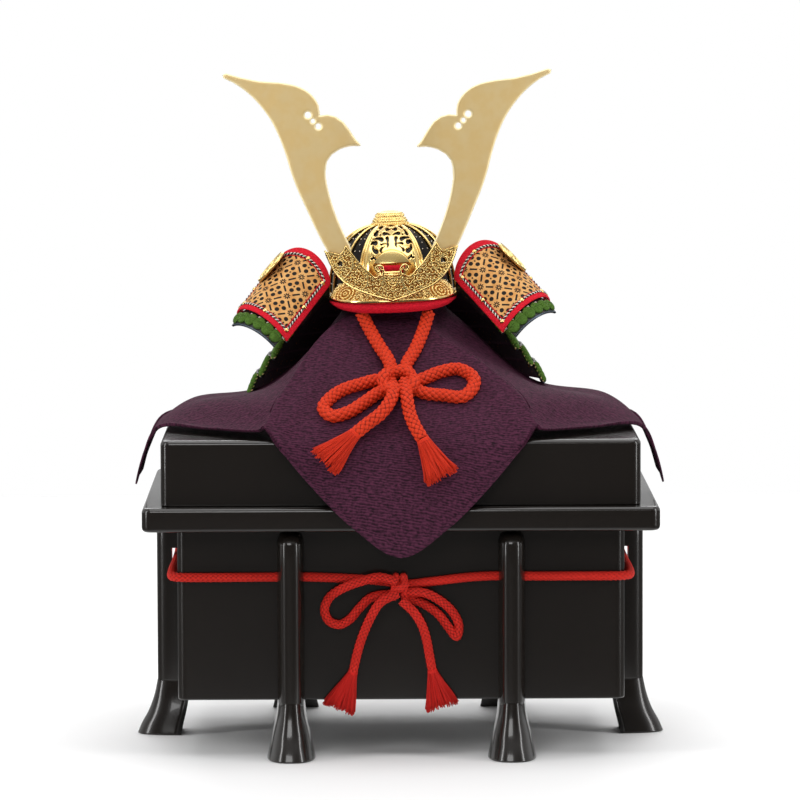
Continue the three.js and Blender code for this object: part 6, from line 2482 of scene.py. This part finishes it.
@dataclass
class Studio:
    """The camera at the photograph's viewing angle, soft lights and a plain pale floor."""

    camera_at: tuple = (-22.33, -3792.27, 560.60)
    yaw: float = 0.0060
    pitch: float = 0.0861
    roll: float = -0.0037
    focal: float = 5451.1
    frame_size: float = 800

    def build(self) -> None:
        """Build the camera, lights, world and floor."""
        self.build_camera()
        self.build_lights()
        self.build_world()
        self.build_floor()
        bpy.context.scene.view_settings.view_transform = "Standard"

    def build_camera(self) -> None:
        """Turn by yaw, then down by pitch, then round the view by roll."""
        forward = np.array([
            math.sin(self.yaw) * math.cos(self.pitch), math.cos(self.yaw) * math.cos(self.pitch),
            -math.sin(self.pitch),
        ])
        right0 = np.array([math.cos(self.yaw), -math.sin(self.yaw), 0.0])
        up0 = np.cross(right0, forward)
        right = math.cos(self.roll) * right0 + math.sin(self.roll) * up0
        up = -math.sin(self.roll) * right0 + math.cos(self.roll) * up0
        data = bpy.data.cameras.new("camera")
        data.sensor_width = SENSOR_MM
        data.lens = self.focal / self.frame_size * SENSOR_MM
        data.clip_start, data.clip_end = 0.05, 30
        axes = np.stack([right, up, -forward], 1)
        bpy.context.scene.camera = set_up("camera", data, axes, np.array(self.camera_at) * MM)

    def build_lights(self) -> None:
        """Soft boxes: one above, one from the front, one at each side and one behind."""
        for name, place, aim, size, power in (
            ("top_box", (0.1, -0.3, 1.9), (0, 0, 0.25), (1.8, 1.4), 17),
            ("front_box", (-0.5, -2.6, 1.5), (0, 0, 0.28), (1.3, 0.9), 19),
            ("left_box", (-1.7, -0.7, 0.7), (0, 0, 0.22), (0.3, 1.5), 11),
            ("right_box", (1.7, -0.7, 0.7), (0, 0, 0.22), (0.3, 1.5), 11),
            ("back_box", (0.0, 1.8, 1.3), (0, 0, 0.25), (1.6, 0.9), 14),
        ):
            data = bpy.data.lights.new(name, "AREA")
            data.shape = "RECTANGLE"
            data.size, data.size_y = size
            data.energy = power
            set_up(name, data, facing(np.array(place) - np.array(aim)), place)

    def build_world(self) -> None:
        """White behind the object, darker towards the front, so that lacquer and gold keep contrast."""
        world = bpy.data.worlds.new("studio")
        bpy.context.scene.world = world
        world.use_nodes = True
        s = Shader(world.node_tree)
        x, y, z = s.split(s.node("ShaderNodeTexCoord").outputs["Generated"])
        back = s.ramp(y, -0.3, 0.5)
        side = s.ramp(x.to("ABSOLUTE"), 0.55, 0.85)
        top = s.ramp(z, 0.25, 0.9)
        light = back * 0.4 + side * 0.3 + top * 0.45 + 0.05
        seen = Num(s, s.node("ShaderNodeLightPath").outputs["Is Camera Ray"])
        strength = seen + (seen * -1.0 + 1.0) * light
        s.fill(world.node_tree.nodes["Background"], Color=(1, 1, 1, 1), Strength=strength)

    def build_floor(self) -> None:
        """A wide pale sheet under the feet, painted dark grey in reflections away from the middle."""
        mesh = bpy.data.meshes.new("floor")
        mesh.from_pydata([(-6, -5, 0), (6, -5, 0), (6, 1.6, 0), (-6, 1.6, 0)], [], [(0, 1, 2, 3)])
        floor = bpy.data.objects.new("floor", mesh)
        made = bpy.data.materials.new("floor")
        made.use_nodes = True
        s = Shader(made.node_tree)
        x, y, _ = s.split(s.node("ShaderNodeTexCoord").outputs["Object"])
        away = s.ramp((x * x + y * y).to("SQRT"), 0.18, 0.45)
        # Painted dark reflection: glossy rays see the floor dark grey away from the middle, so lacquer and
        # gold reflect dark there.
        painted_dark_reflection = Num(s, s.node("ShaderNodeLightPath").outputs["Is Glossy Ray"]) * away
        base = s.mix(painted_dark_reflection, "#f6f6f6", "#303030")
        s.fill(made.node_tree.nodes["Principled BSDF"], Base_Color=base, Roughness=0.6)
        mesh.materials.append(made)
        bpy.context.collection.objects.link(floor)


def main() -> None:
    """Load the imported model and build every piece."""
    logging.basicConfig(level=logging.INFO, format="%(message)s")
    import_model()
    Studio().build()
    chest = Chest()
    HelmetCord(
        "helmet", 9.0, 6, 4.6, ORANGE_BRAID, ORANGE_THREAD, (-1, -97.8, 253.2), math.radians(-52),
        HELMET_CORD_RUNS, HELMET_TASSELS,
    ).build()
    ChestCord(
        "chest", 6.2, 6, 3.4, SCARLET_BRAID, SCARLET_THREAD, (-1, -123.6, 117), 0.0,
        [*CHEST_CORD_RUNS, band_run(chest, 6.2)], CHEST_TASSELS,
    ).build()
    chest.build()
    Stand().build()
    Helmet().build()


if __name__ == "__main__":
    main()
